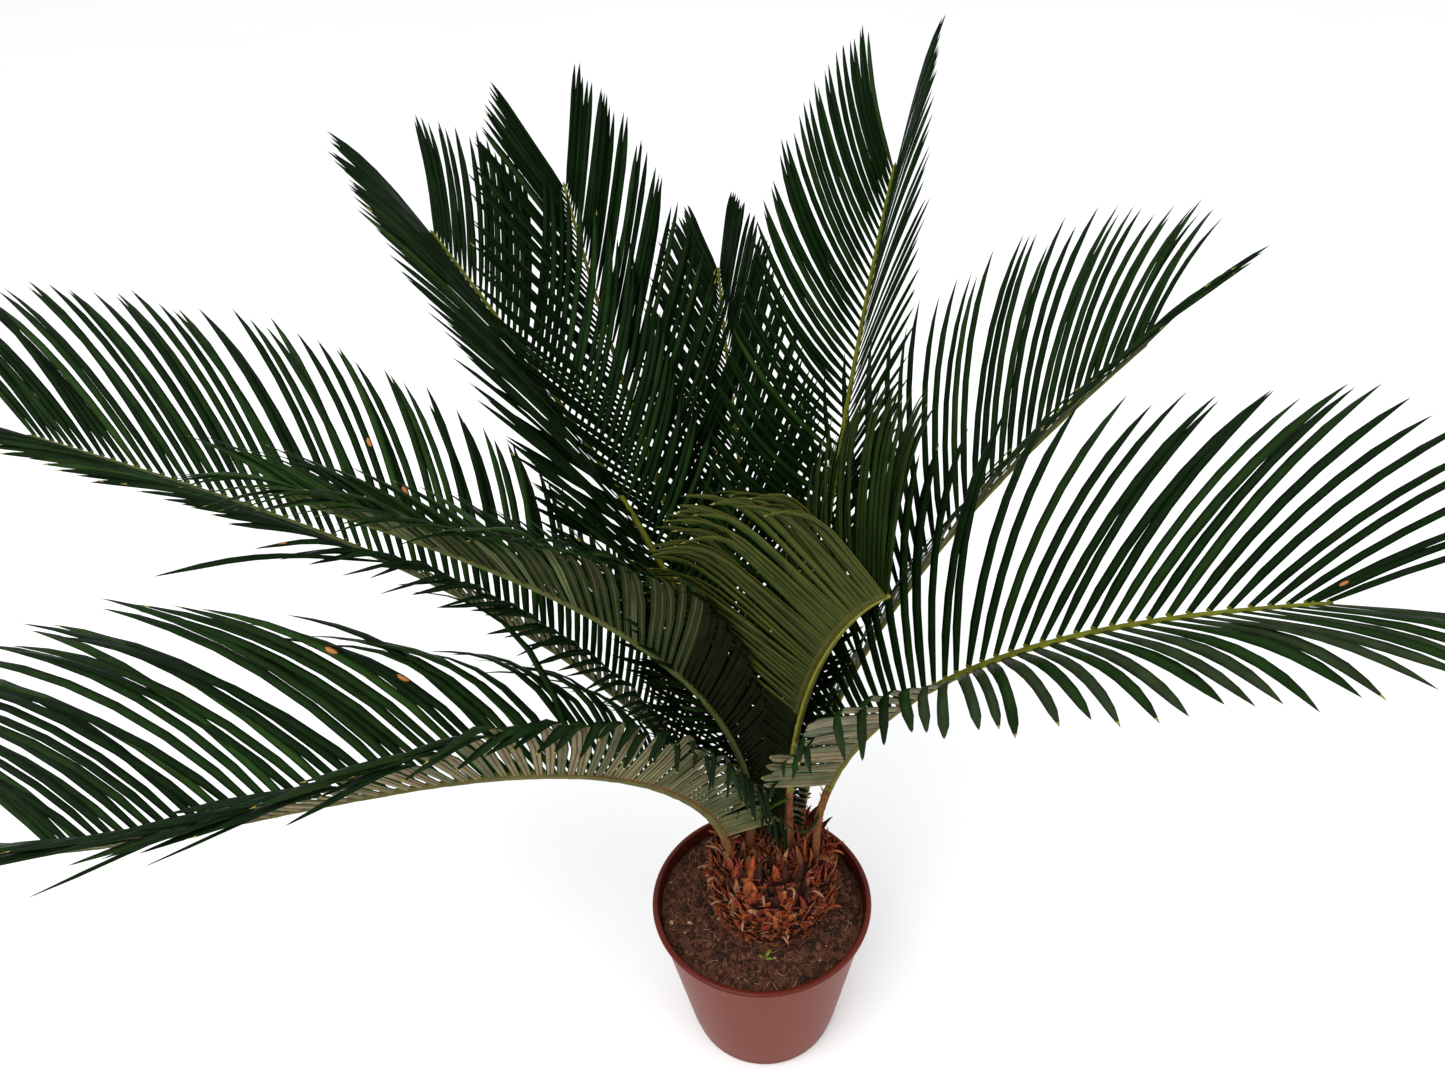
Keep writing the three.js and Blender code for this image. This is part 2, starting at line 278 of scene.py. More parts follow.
@dataclass(frozen=True)
class PlasticFinish(Finish):
    """Moulded plastic: an even colour under a thin clear gloss."""

    grain_scale: float = 260.0
    coat: float = 0.02
    coat_roughness: float = 0.2

    def material(self) -> bpy.types.Material:
        """Makes the material and lays the gloss over it."""
        material = super().material()
        inputs = material.node_tree.nodes["Principled BSDF"].inputs
        inputs["Coat Weight"].default_value = self.coat
        inputs["Coat Roughness"].default_value = self.coat_roughness
        return material


@dataclass(frozen=True)
class CompostFinish(Finish):
    """Crumbly compost: brown crumbs and grit, with painted shade in the hollows between them."""

    # Painted shade: the colour of the hollows between the crumbs
    hollow_shade: Triple = (0.035, 0.016, 0.010)
    crumb_scale: float = 260.0
    crumb_detail: float = 6.0
    crumb_light: float = 1.25
    grit_detail: float = 2.0
    grit_strength: float = 0.8

    def tone(self, shader: Shader, where: Socket) -> Socket:
        """The base colour, with painted shade in the hollows between the crumbs and lighter on the crumbs."""
        crumbs = shader.noise(where, self.crumb_scale, self.crumb_detail)
        return shader.blend(crumbs, self.hollow_shade, shade(self.colour, self.crumb_light))

    def relief(self, shader: Shader, where: Socket) -> Socket:
        """The normal with crumbs and grit on it.

        Args:
            shader: the material's nodes.
            where: the place on the object.

        Returns:
            The normal's socket.
        """
        crumbs = shader.raise_by(shader.noise(where, self.crumb_scale, self.crumb_detail), 1.0, self.grain)
        grit = shader.noise(where, self.grain_scale, self.grit_detail)
        return shader.raise_by(grit, self.grit_strength, self.grain / 3, over=crumbs)


@dataclass(frozen=True)
class RibFinish(Finish):
    """The smooth skin of a rib, with long soft blotches."""

    mottle: float = 0.25
    mottle_scale: float = 120


POT_PLASTIC = PlasticFinish("pot_wall", (0.142, 0.0245, 0.0120), 0.36, 0.055, 0.06, 14, 0.00004)
LIP_PLASTIC = PlasticFinish("pot_lip", (0.092, 0.0125, 0.0065), 0.34, 0.12, 0.08, 30, 0.00003)
# Painted shade: a much darker plastic for the inside of the pot, a shaded recess
INSIDE_SHADE_PLASTIC = PlasticFinish("pot_inside_painted_shade", (0.042, 0.0068, 0.0038), 0.34, 0.10, 0.08, 30, 0.00003)
COMPOST = CompostFinish("compost_crumbly", (0.095, 0.037, 0.021), 0.95, 0.05, grain=0.0016)
CRUMB_DARK = Finish("crumb_dark", (0.034, 0.016, 0.010), 0.95, 0.1, 0.4, 400)
CRUMB_BROWN = Finish("crumb_brown", (0.092, 0.036, 0.021), 0.95, 0.1, 0.4, 400)
CRUMB_PALE = Finish("crumb_pale", (0.30, 0.19, 0.12), 0.85, 0.2, 0.2, 400)
ROOT_FIBRE = Finish("root_fibre", (0.15, 0.075, 0.042), 0.9, 0.1)

RUST = FibreFinish("scale_rust", (0.215, 0.044, 0.015), 0.85, 0.12, 0.5)
ORANGE = FibreFinish("scale_orange", (0.30, 0.080, 0.020), 0.8, 0.12, 0.4)
STRAW = FibreFinish("scale_straw", (0.275, 0.132, 0.066), 0.8, 0.15, 0.35)
UMBER = FibreFinish("scale_umber", (0.032, 0.011, 0.006), 0.9, 0.1, 0.5)
PLUM = FibreFinish("scale_plum", (0.150, 0.024, 0.016), 0.85, 0.12, 0.45)
FELT = FibreFinish("felt", (0.135, 0.050, 0.020), 0.95, 0.1, 0.35, grain=0.0004)

DEEP = BladeFinish("leaf_deep", (0.0036, 0.0125, 0.0022), 0.38, 0.035)
GREEN = BladeFinish("leaf_green", (0.0075, 0.0215, 0.0038), 0.38, 0.035)
# Painted shade: a near-black green for the fronds at the back of the crown, which lie in shade
BACK_SHADE = BladeFinish("leaf_back_painted_shade", (0.0021, 0.0078, 0.0012), 0.4, 0.02)
# Painted sheen: a greyer, lighter green that stands in for the sky's sheen on the near leaflets of the front
# right frond
PAINTED_SHEEN = BladeFinish("leaf_painted_sheen", (0.0165, 0.0280, 0.0100), 0.38, 0.05)
FRESH = BladeFinish("leaf_fresh", (0.0135, 0.0360, 0.0055), 0.38, 0.04)
LEAF_ROLL = Finish("leaf_roll", (0.020, 0.040, 0.010), 0.5, 0.06)
# Painted shade: a dim underside for leaflets that lie in shade, on the back fronds and the upper right one
UNDER_SHADE = BladeFinish("under_painted_shade", (0.020, 0.029, 0.009), 0.6, 0.06, veins=14)
# Painted shade: a dark olive underside for the near leaflets of the mid left frond and a low curled leaflet,
# which lie in deep shade
UNDER_OLIVE_SHADE = BladeFinish("under_olive_painted_shade", (0.0175, 0.0215, 0.007), 0.6, 0.04, veins=5, vein_tone=0.35)
UNDER_PALE = BladeFinish("under_pale", (0.155, 0.140, 0.066), 0.6, 0.12, veins=14)
UNDER_WARM = BladeFinish("under_warm", (0.185, 0.150, 0.080), 0.6, 0.12, veins=14)
UNDER_SAGE = BladeFinish("under_sage", (0.085, 0.098, 0.040), 0.6, 0.12, veins=14)
MIDRIB = Finish("midrib", (0.075, 0.046, 0.019), 0.55, 0.1)
PALE_MIDRIB = Finish("pale_midrib", (0.049, 0.046, 0.019), 0.55, 0.06)
TIP = Finish("leaf_tip", (0.24, 0.20, 0.035), 0.5, 0.15)
JOINT = Finish("leaf_joint", (0.11, 0.050, 0.016), 0.6, 0.1)
SPOT = Finish("leaf_spot", (0.40, 0.155, 0.045), 0.6, 0.1)
OLIVE = BladeFinish("young_olive", (0.0155, 0.0280, 0.0034), 0.42, 0.05)
MOSS = BladeFinish("young_moss", (0.0090, 0.0200, 0.0026), 0.42, 0.045)
LIME = BladeFinish("young_lime", (0.0260, 0.0430, 0.0052), 0.42, 0.05)
# Painted shade: a dark copy of the young leaflets' green, for the low leaflets that lie in the shade of those
# above
SHADED = BladeFinish("young_shaded", (0.0062, 0.0088, 0.0021), 0.5, 0.035)
OCHRE = Finish("young_ochre", (0.068, 0.068, 0.012), 0.5, 0.08)
RIB_YELLOW = RibFinish("rib_yellow", (0.098, 0.108, 0.009), 0.42, 0.12)
RIB_GOLD = RibFinish("rib_gold", (0.190, 0.172, 0.020), 0.42, 0.12, 0.2)
RIB_SAGE = RibFinish("rib_sage", (0.105, 0.108, 0.044), 0.45, 0.12, 0.2)
RIB_TAN = RibFinish("rib_tan", (0.092, 0.084, 0.025), 0.45, 0.10)
RIB_DEEP = RibFinish("rib_deep", (0.100, 0.108, 0.009), 0.5, 0.05)
RIB_OLIVE = RibFinish("rib_olive", (0.060, 0.070, 0.014), 0.42, 0.15)
SPROUT = Finish("sprout", (0.125, 0.185, 0.018), 0.45, 0.15)


# Meshes


class Joined:
    """Many small closed bodies gathered into one mesh, each face with its own finish."""

    def __init__(self, name: str, finishes: Sequence[Finish]) -> None:
        """Starts an empty piece.

        Args:
            name: the object's name.
            finishes: the finishes of its material slots, in order.
        """
        self.name = name
        self.finishes = list(finishes)
        self.points: list[Array] = []
        self.blade: list[Array] = []
        self.faces: dict[int, list[Array]] = {}
        self.numbers: dict[int, list[Array]] = {}
        self.count = 0

    def number(self, finish: Finish) -> int:
        """The material slot of a finish."""
        return self.finishes.index(finish)

    def add_faces(self, faces: Array, numbers: Array) -> None:
        """Adds faces that all have as many corners.

        Args:
            faces: the corners of each, as wide as they are many.
            numbers: the material slot of each.
        """
        width = faces.shape[1]
        self.faces.setdefault(width, []).append(faces)
        self.numbers.setdefault(width, []).append(numbers)

    def add_spikes(self, rings: Array, tips: Array, numbers: Array, blade: Array | None = None) -> None:
        """Adds bodies that each run through rings of corners to a point.

        Args:
            rings: corners, by body, ring and place round the ring, which turns left seen from the tip.
            tips: the point of each body.
            numbers: the material slot of each face, by body, ring and place round the ring.
            blade: how far along and across its blade each corner lies, or None for a plain body.
        """
        bodies, along, around = rings.shape[:3]
        each = along * around + 1
        first = self.count + each * np.arange(bodies)[:, None, None]
        place = np.arange(along * around).reshape(along, around)
        beyond = np.roll(place, -1, axis=1)
        quads = np.stack([place[:-1], beyond[:-1], beyond[1:], place[1:]], -1)
        self.add_faces((first[..., None] + quads).reshape(-1, 4), numbers[:, :-1].reshape(-1))
        ends = np.stack([place[-1], beyond[-1], np.full(around, each - 1)], -1)
        self.add_faces((first + ends).reshape(-1, 3), numbers[:, -1].reshape(-1))
        self.add_faces(first[:, 0] + place[0][::-1], numbers[:, 0, 0])
        self.points.append(np.concatenate([rings.reshape(bodies, -1, 3), tips[:, None]], 1).reshape(-1, 3))
        if blade is None:
            blade = np.zeros((bodies, along, around, 2))
        end = blade[:, -1:, :1].reshape(bodies, 1, 2)
        self.blade.append(np.concatenate([blade.reshape(bodies, -1, 2), end], 1).reshape(-1, 2))
        self.count += bodies * each

    def build(self) -> bpy.types.Object:
        """Makes the object, with the finishes in its slots and the blade coordinates as a UV map."""
        mesh = bpy.data.meshes.new(self.name)
        widths = sorted(self.faces)
        groups = [np.concatenate(self.faces[width]) for width in widths]
        corners = np.concatenate([group.ravel() for group in groups])
        sizes = np.concatenate([np.full(len(group), width) for group, width in zip(groups, widths)])
        points = np.concatenate(self.points)
        mesh.vertices.add(len(points))
        mesh.vertices.foreach_set("co", points.astype(np.float32).ravel())
        mesh.loops.add(len(corners))
        mesh.loops.foreach_set("vertex_index", corners.astype(np.int32))
        mesh.polygons.add(len(sizes))
        mesh.polygons.foreach_set("loop_start", (np.cumsum(sizes) - sizes).astype(np.int32))
        numbers = np.concatenate([np.concatenate(self.numbers[width]) for width in widths])
        mesh.polygons.foreach_set("material_index", numbers.astype(np.int32))
        mesh.polygons.foreach_set("use_smooth", np.full(len(sizes), True))
        blade = mesh.uv_layers.new(name="blade")
        blade.data.foreach_set("uv", np.concatenate(self.blade)[corners].astype(np.float32).ravel())
        mesh.update(calc_edges=True)
        mesh.validate()
        return linked(self.name, mesh, self.finishes)


@cache
def made(finish: Finish) -> bpy.types.Material:
    """The material of a finish, made once."""
    return finish.material()


def linked(name: str, mesh: bpy.types.Mesh, finishes: Iterable[Finish]) -> bpy.types.Object:
    """Makes an object of a mesh.

    Args:
        name: the object's name.
        mesh: the mesh, already in its place.
        finishes: the finishes of its material slots.

    Returns:
        The object, in the scene.
    """
    for finish in finishes:
        mesh.materials.append(made(finish))
    thing = bpy.data.objects.new(name, mesh)
    bpy.context.scene.collection.objects.link(thing)
    return thing


def turned(name: str, outline: Sequence[Pair], steps: int, finishes: Sequence[Finish]) -> bpy.types.Object:
    """Turns an outline round the Z axis.

    Args:
        name: the object's name.
        outline: radius and height of each corner, from axis to axis.
        steps: how many stretches the full turn has.
        finishes: the finishes of its material slots.

    Returns:
        The closed, smooth object.
    """
    shape = bmesh.new()
    corners = [shape.verts.new((radius, 0, height)) for radius, height in outline]
    edges = [shape.edges.new(pair) for pair in zip(corners, corners[1:])]
    bmesh.ops.spin(shape, geom=corners + edges, cent=(0, 0, 0), axis=(0, 0, 1), angle=TURN, steps=steps,
                   use_merge=True)
    bmesh.ops.remove_doubles(shape, verts=shape.verts[:], dist=1e-6)
    bmesh.ops.recalc_face_normals(shape, faces=shape.faces[:])
    for face in shape.faces:
        face.smooth = True
    mesh = bpy.data.meshes.new(name)
    shape.to_mesh(mesh)
    shape.free()
    return linked(name, mesh, finishes)


def unit(vectors: Array) -> Array:
    """The vectors made one long."""
    return vectors / np.linalg.norm(vectors, axis=-1, keepdims=True)


def unit_ring(heading: Array) -> Array:
    """Level unit vectors at headings in radians."""
    return np.stack([np.cos(heading), np.sin(heading), np.zeros_like(heading)], -1)


def beside(outward: Array) -> Array:
    """Level unit vectors, a quarter turn left of level ones."""
    return np.stack([-outward[:, 1], outward[:, 0], np.zeros(len(outward))], -1)


def spun(across: Array, up: Array, angle: Array | float) -> tuple[Array, Array]:
    """Two square vectors turned from across towards up by an angle in radians."""
    return across * np.cos(angle) + up * np.sin(angle), up * np.cos(angle) - across * np.sin(angle)


def rising(level: Array, angle: Array) -> Array:
    """Level unit vectors raised by the angles of each step, in radians."""
    return np.cos(angle)[..., None] * level[:, None] + np.sin(angle)[..., None] * UP


def strung(foot: Array, run: Array, length: Array) -> Array:
    """Lines from their feet, by the directions of their steps and their lengths in metres."""
    return foot[:, None] + np.cumsum(unit(run), 1) * (length / run.shape[1])[:, None, None]


def ringed(centres: Array, across: Array, up: Array, x: Array, y: Array) -> Array:
    """The corners that lie x across and y up from the centre of their ring."""
    return centres[..., None, :] + x[..., None] * across[..., None, :] + y[..., None] * up[..., None, :]


def eased(part: Array) -> Array:
    """A smooth step from 0 to 1 as part goes from 0 to 1."""
    part = np.clip(part, 0, 1)
    return part * part * (3 - 2 * part)


def mixed(low: float, high: float, part: Array) -> Array:
    """The value that lies part of the way from low to high."""
    return low + (high - low) * part


def sampled(paths: Array, parts: Array) -> Array:
    """Reads paths between the steps that they hold.

    Args:
        paths: the values of each path, step by step.
        parts: the parts of its length that are wanted of each path.

    Returns:
        The values there.
    """
    place = parts * (paths.shape[1] - 1)
    low = np.minimum(place.astype(int), paths.shape[1] - 2)
    rest = (place - low)[..., None]
    row = np.arange(len(paths))[:, None]
    return paths[row, low] * (1 - rest) + paths[row, low + 1] * rest


def add_threads(piece: Joined, paths: Array, radius: float | Array, numbers: Array,
                flat: float = 1.0, sides: int = 5) -> None:
    """Adds threads that run along paths and end in a point.

    Args:
        piece: the piece that they join.
        paths: the points of each thread.
        radius: its radius, the same all along or one for each point of a path.
        numbers: the material slot of each thread.
        flat: its thickness as a share of its width.
        sides: how many sides it has.
    """
    almost_up = [0.02, 0.03, 1.0]
    run = unit(np.gradient(paths, axis=1))
    side = unit(np.cross(run, almost_up))
    around = TURN * np.arange(sides) / sides
    wide = np.broadcast_to(radius, paths.shape[1])[:, None]
    rings = ringed(paths, side, np.cross(side, run), wide * np.cos(around), wide * flat * np.sin(around))
    kinds = np.broadcast_to(numbers[:, None, None], (len(paths), paths.shape[1] - 1, sides))
    piece.add_spikes(rings[:, :-1, ::-1], paths[:, -1], kinds)


def dressed(piece: bpy.types.Object, slot: str, *nodes: str) -> None:
    """Puts a piece on the plant's body, in place of its plain solids.

    Args:
        piece: the finished object.
        slot: the name of one of the record's material slots; not used.
        *nodes: the solids that it stands for.
    """
    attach(piece, "root")
    if nodes:
        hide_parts(*nodes)
    log.info("%s: %d faces", piece.name, len(piece.data.polygons))


# Pot and compost


def arc(radius: float, height: float, size: float, ends: Pair, steps: int) -> list[Pair]:
    """Corners along an arc of an outline.

    Args:
        radius: its centre's radius.
        height: its centre's height.
        size: the arc's own radius.
        ends: where it starts and ends, in degrees up from level.
        steps: how many stretches it has.

    Returns:
        The radius and the height of each corner.
    """
    angles = [math.radians(mixed(*ends, step / steps)) for step in range(steps + 1)]
    return [(radius + size * math.cos(angle), height + size * math.sin(angle)) for angle in angles]


@dataclass
class Pot:
    """The thin-walled nursery pot, sized as its solid is.

    wall_rings are the parts of its height where the wall has a ring of corners, and lip is how many
    beads down from the top the darker plastic reaches.
    """

    height: float = 109 * MM
    rim_radius: float = 65 * MM
    foot_radius: float = 45 * MM
    wall: float = 1.6 * MM
    floor: float = 2.4 * MM
    foot_round: float = 4 * MM
    bead: float = 1.7 * MM
    lip: float = 1.9
    steps: int = 160
    wall_rings: tuple[float, ...] = (0.12, 0.3, 0.55, 0.8, 0.94, 0.985, 1)

    def radius(self, height: float) -> float:
        """The outer radius of the wall at a height."""
        return self.foot_radius + (self.rim_radius - self.bead - self.foot_radius) * height / self.height

    def inner_radius(self, height: float) -> float:
        """The inner radius of the wall at a height."""
        return self.radius(height) - self.wall

    def outline(self) -> list[Pair]:
        """The wall's section, from the middle of the underside to the middle of the floor."""
        low = self.height - 2 * self.bead
        inner = (self.height - self.bead / 2, self.height * 0.9, self.floor * 2)
        return [(0.0, 0.0), (self.foot_radius / 2, 0.0),
                *arc(self.radius(0) - self.foot_round, self.foot_round, self.foot_round, (-90, 0), 8),
                *((self.radius(low * part), low * part) for part in self.wall_rings),
                *arc(self.radius(self.height), self.height - self.bead, self.bead, (-90, 90), 12),
                (self.inner_radius(self.height) + self.wall / 4, self.height - self.bead / 8),
                *((self.inner_radius(height), height) for height in inner),
                (self.inner_radius(self.floor) - self.floor, self.floor), (0.0, self.floor)]

    def build(self) -> None:
        """Turns the pot, gives its rolled rim the darker lip plastic and paints shade on its inside with a
        darker plastic still.
        """
        finishes = [POT_PLASTIC, LIP_PLASTIC, INSIDE_SHADE_PLASTIC]
        piece = turned("pot_shell", self.outline(), self.steps, finishes)
        for face in piece.data.polygons:
            middle = face.center
            inside = math.hypot(middle.x, middle.y) < self.inner_radius(middle.z) + self.wall / 2
            # The inside wall takes the painted shade plastic
            if inside and middle.z > self.floor * 3:
                face.material_index = finishes.index(INSIDE_SHADE_PLASTIC)
            elif middle.z > self.height - self.lip * self.bead:
                face.material_index = finishes.index(LIP_PLASTIC)
        dressed(piece, "pot_plastic", "pot")


@dataclass
class Compost:
    """The compost in the pot, with its crumbs, fibres and one seedling.

    lumps are the patterns of its surface, by their cells a metre, height in metres and seed. dip is how
    far it would sink over a whole radius, from the part dip_from of it. crumb_size holds the shape and
    the scale of the spread of the crumbs' sizes and what is added to them, largest_crumb is their limit,
    in millimetres, and pale_crumb the size of the pale ones as a share of the others'. The seedling's
    leaves are given by their heading in radians and their length in metres.
    """

    pot: Pot
    top: float = 102 * MM
    low: float = 96 * MM
    clear: float = 0.15 * MM
    lumps: tuple[Triple, ...] = ((60, 1.21 * MM, 0.3), (170, 0.605 * MM, 5.1), (520, 0.45 * MM, 9.7))
    dip: float = 12 * MM
    dip_from: float = 0.9
    rings: int = 46
    steps: int = 150
    crumbs: int = 1500
    crumb_size: Triple = (2.2, 0.42, 0.25)
    largest_crumb: float = 2.6
    pale_crumb: float = 0.65
    crumb_shares: Triple = (0.46, 0.5, 0.04)
    fibres: int = 260
    fibre_radius: float = 0.17 * MM
    crown: Pair = (7 * MM, 3 * MM)
    trunk_radius: float = 31 * MM
    seedling: Pair = (-0.5 * MM, -37.5 * MM)
    seed_leaves: tuple[Pair, ...] = ((-0.63, 6 * MM), (0.97, 7.5 * MM), (2.47, 4 * MM))
    seed_leaf_width: float = 1.2 * MM

    def height(self, x: float, y: float) -> float:
        """The height of the surface, which sinks a little towards the wall.

        Args:
            x: how far the point lies right of the pot's axis.
            y: how far it lies behind it.

        Returns:
            The height in metres.
        """
        edge = self.pot.inner_radius(self.top)
        sunk = self.dip * max(0.0, math.hypot(x, y) / edge - self.dip_from)
        return self.top - sunk + sum(tall * noise.noise(Vector((x, y, seed)) * cells)
                                     for cells, tall, seed in self.lumps)

    def build(self) -> None:
        """Makes the surface, the loose bits on it and the seedling."""
        low_edge, edge = (self.pot.inner_radius(height) - self.clear for height in (self.low, self.top))
        outline = [(0.0, self.low), (low_edge, self.low)]
        outline += [(edge * (1 - step / self.rings), self.top) for step in range(self.rings + 1)]
        piece = turned("compost_top", outline, self.steps, [COMPOST])
        for vertex in piece.data.vertices:
            if vertex.co.z > mixed(self.low, self.top, 0.99):
                vertex.co.z = self.height(vertex.co.x, vertex.co.y)
        dressed(piece, "compost", "soil")
        random = np.random.default_rng(SEED)
        self.scatter_crumbs(random)
        self.scatter_fibres(random)
        self.grow_seedling()

    def spots(self, random: Random, count: int) -> Array:
        """Draws points on the open surface.

        Args:
            random: where the draws come from.
            count: how many points.

        Returns:
            Their x, y and z.
        """
        edge = self.pot.inner_radius(self.top) - 2 * MM
        found: list[Triple] = []
        while len(found) < count:
            x, y = random.uniform(-edge, edge, 2)
            from_trunk = math.hypot(x - self.crown[0], y - self.crown[1])
            if math.hypot(x, y) < edge and from_trunk > self.trunk_radius:
                found.append((x, y, self.height(x, y)))
        return np.array(found)

    def scatter_crumbs(self, random: Random) -> None:
        """Scatters crumbs of several sizes, each a squashed bead of a few faces.

        Args:
            random: where their places and shapes come from.
        """
        bits = Joined("compost_crumbs", [CRUMB_DARK, CRUMB_BROWN, CRUMB_PALE])
        spots = self.spots(random, self.crumbs)
        shape, scale, least = self.crumb_size
        sizes = np.minimum(random.gamma(shape, scale, self.crumbs) + least, self.largest_crumb) * MM
        stretch = random.uniform(0.7, 1.3, (self.crumbs, 3)) * np.array([1, 1, 0.7])
        radii, heights = np.array([(0.6, 1.0, 0.66), (-0.75, 0.0, 0.7)])[..., None, None]
        bead = radii * unit_ring(np.arange(6) * TURN / 6) + heights * UP
        rings = bead * random.uniform(0.72, 1.2, (self.crumbs, 3, 6, 1)) * stretch[:, None, None] + 0.25 * UP
        kinds = random.choice(3, self.crumbs, p=self.crumb_shares)
        sizes[kinds == 2] *= self.pale_crumb
        bits.add_spikes(spots[:, None, None] + rings * sizes[:, None, None, None],
                        spots + 0.95 * UP * sizes[:, None],
                        np.broadcast_to(kinds[:, None, None], (self.crumbs, 3, 6)))
        dressed(bits.build(), "compost")

    def scatter_fibres(self, random: Random) -> None:
        """Lays short curved root fibres over the surface.

        Args:
            random: where their places and shapes come from.
        """
        hairs = Joined("compost_fibres", [ROOT_FIBRE, CRUMB_PALE])
        spots = self.spots(random, self.fibres) * (0.93, 0.93, 1)
        headings = random.uniform(0, TURN, self.fibres)
        bends = random.normal(0, 0.9, self.fibres)
        lengths = random.uniform(4, 13, self.fibres) * MM
        steps = np.linspace(0, 1, 6)
        run = unit_ring(headings[:, None] + bends[:, None] * steps) * (lengths / 5)[:, None, None]
        path = spots[:, None] + np.cumsum(run, 1)
        path[..., 2] = [[self.height(x, y) for x, y, _ in line] for line in path]
        path[..., 2] += (0.8 * np.sin(math.pi * steps) + 0.35) * MM
        add_threads(hairs, path, self.fibre_radius, random.choice(2, self.fibres, p=[0.8, 0.2]))
        dressed(hairs.build(), "compost")

    def grow_seedling(self) -> None:
        """Grows the small seedling in front of the trunk."""
        plant = Joined("seedling", [SPROUT])
        foot = np.array([*self.seedling, self.height(*self.seedling)])
        steps = np.linspace(0, 1, 7)
        rise = 0.8 * (steps * (1 - 0.45 * steps))[:, None] * UP
        paths = [foot + reach * (steps[:, None] * unit_ring(np.array(heading)) * (1, 0.6, 0) + rise)
                 for heading, reach in self.seed_leaves]
        width = self.seed_leaf_width * np.sin(math.pi * np.clip(steps * 0.86 + 0.12, 0, 1))
        add_threads(plant, np.array(paths), width, np.zeros(len(paths), int), flat=0.3)
        dressed(plant.build(), "frond_pale")


# Trunk


@dataclass(frozen=True)
class Hairs:
    """A kind of loose hair: how many, their length and radius in metres, and how often each finish."""

    count: int
    length: Pair
    radius: float
    shares: Triple

    def lengths(self, random: Random) -> Array:
        """Draws the length of each."""
        return random.uniform(*self.length, self.count) * MM

    def kinds(self, random: Random) -> Array:
        """Draws the finish of each."""
        return random.choice(len(self.shares), self.count, p=self.shares)


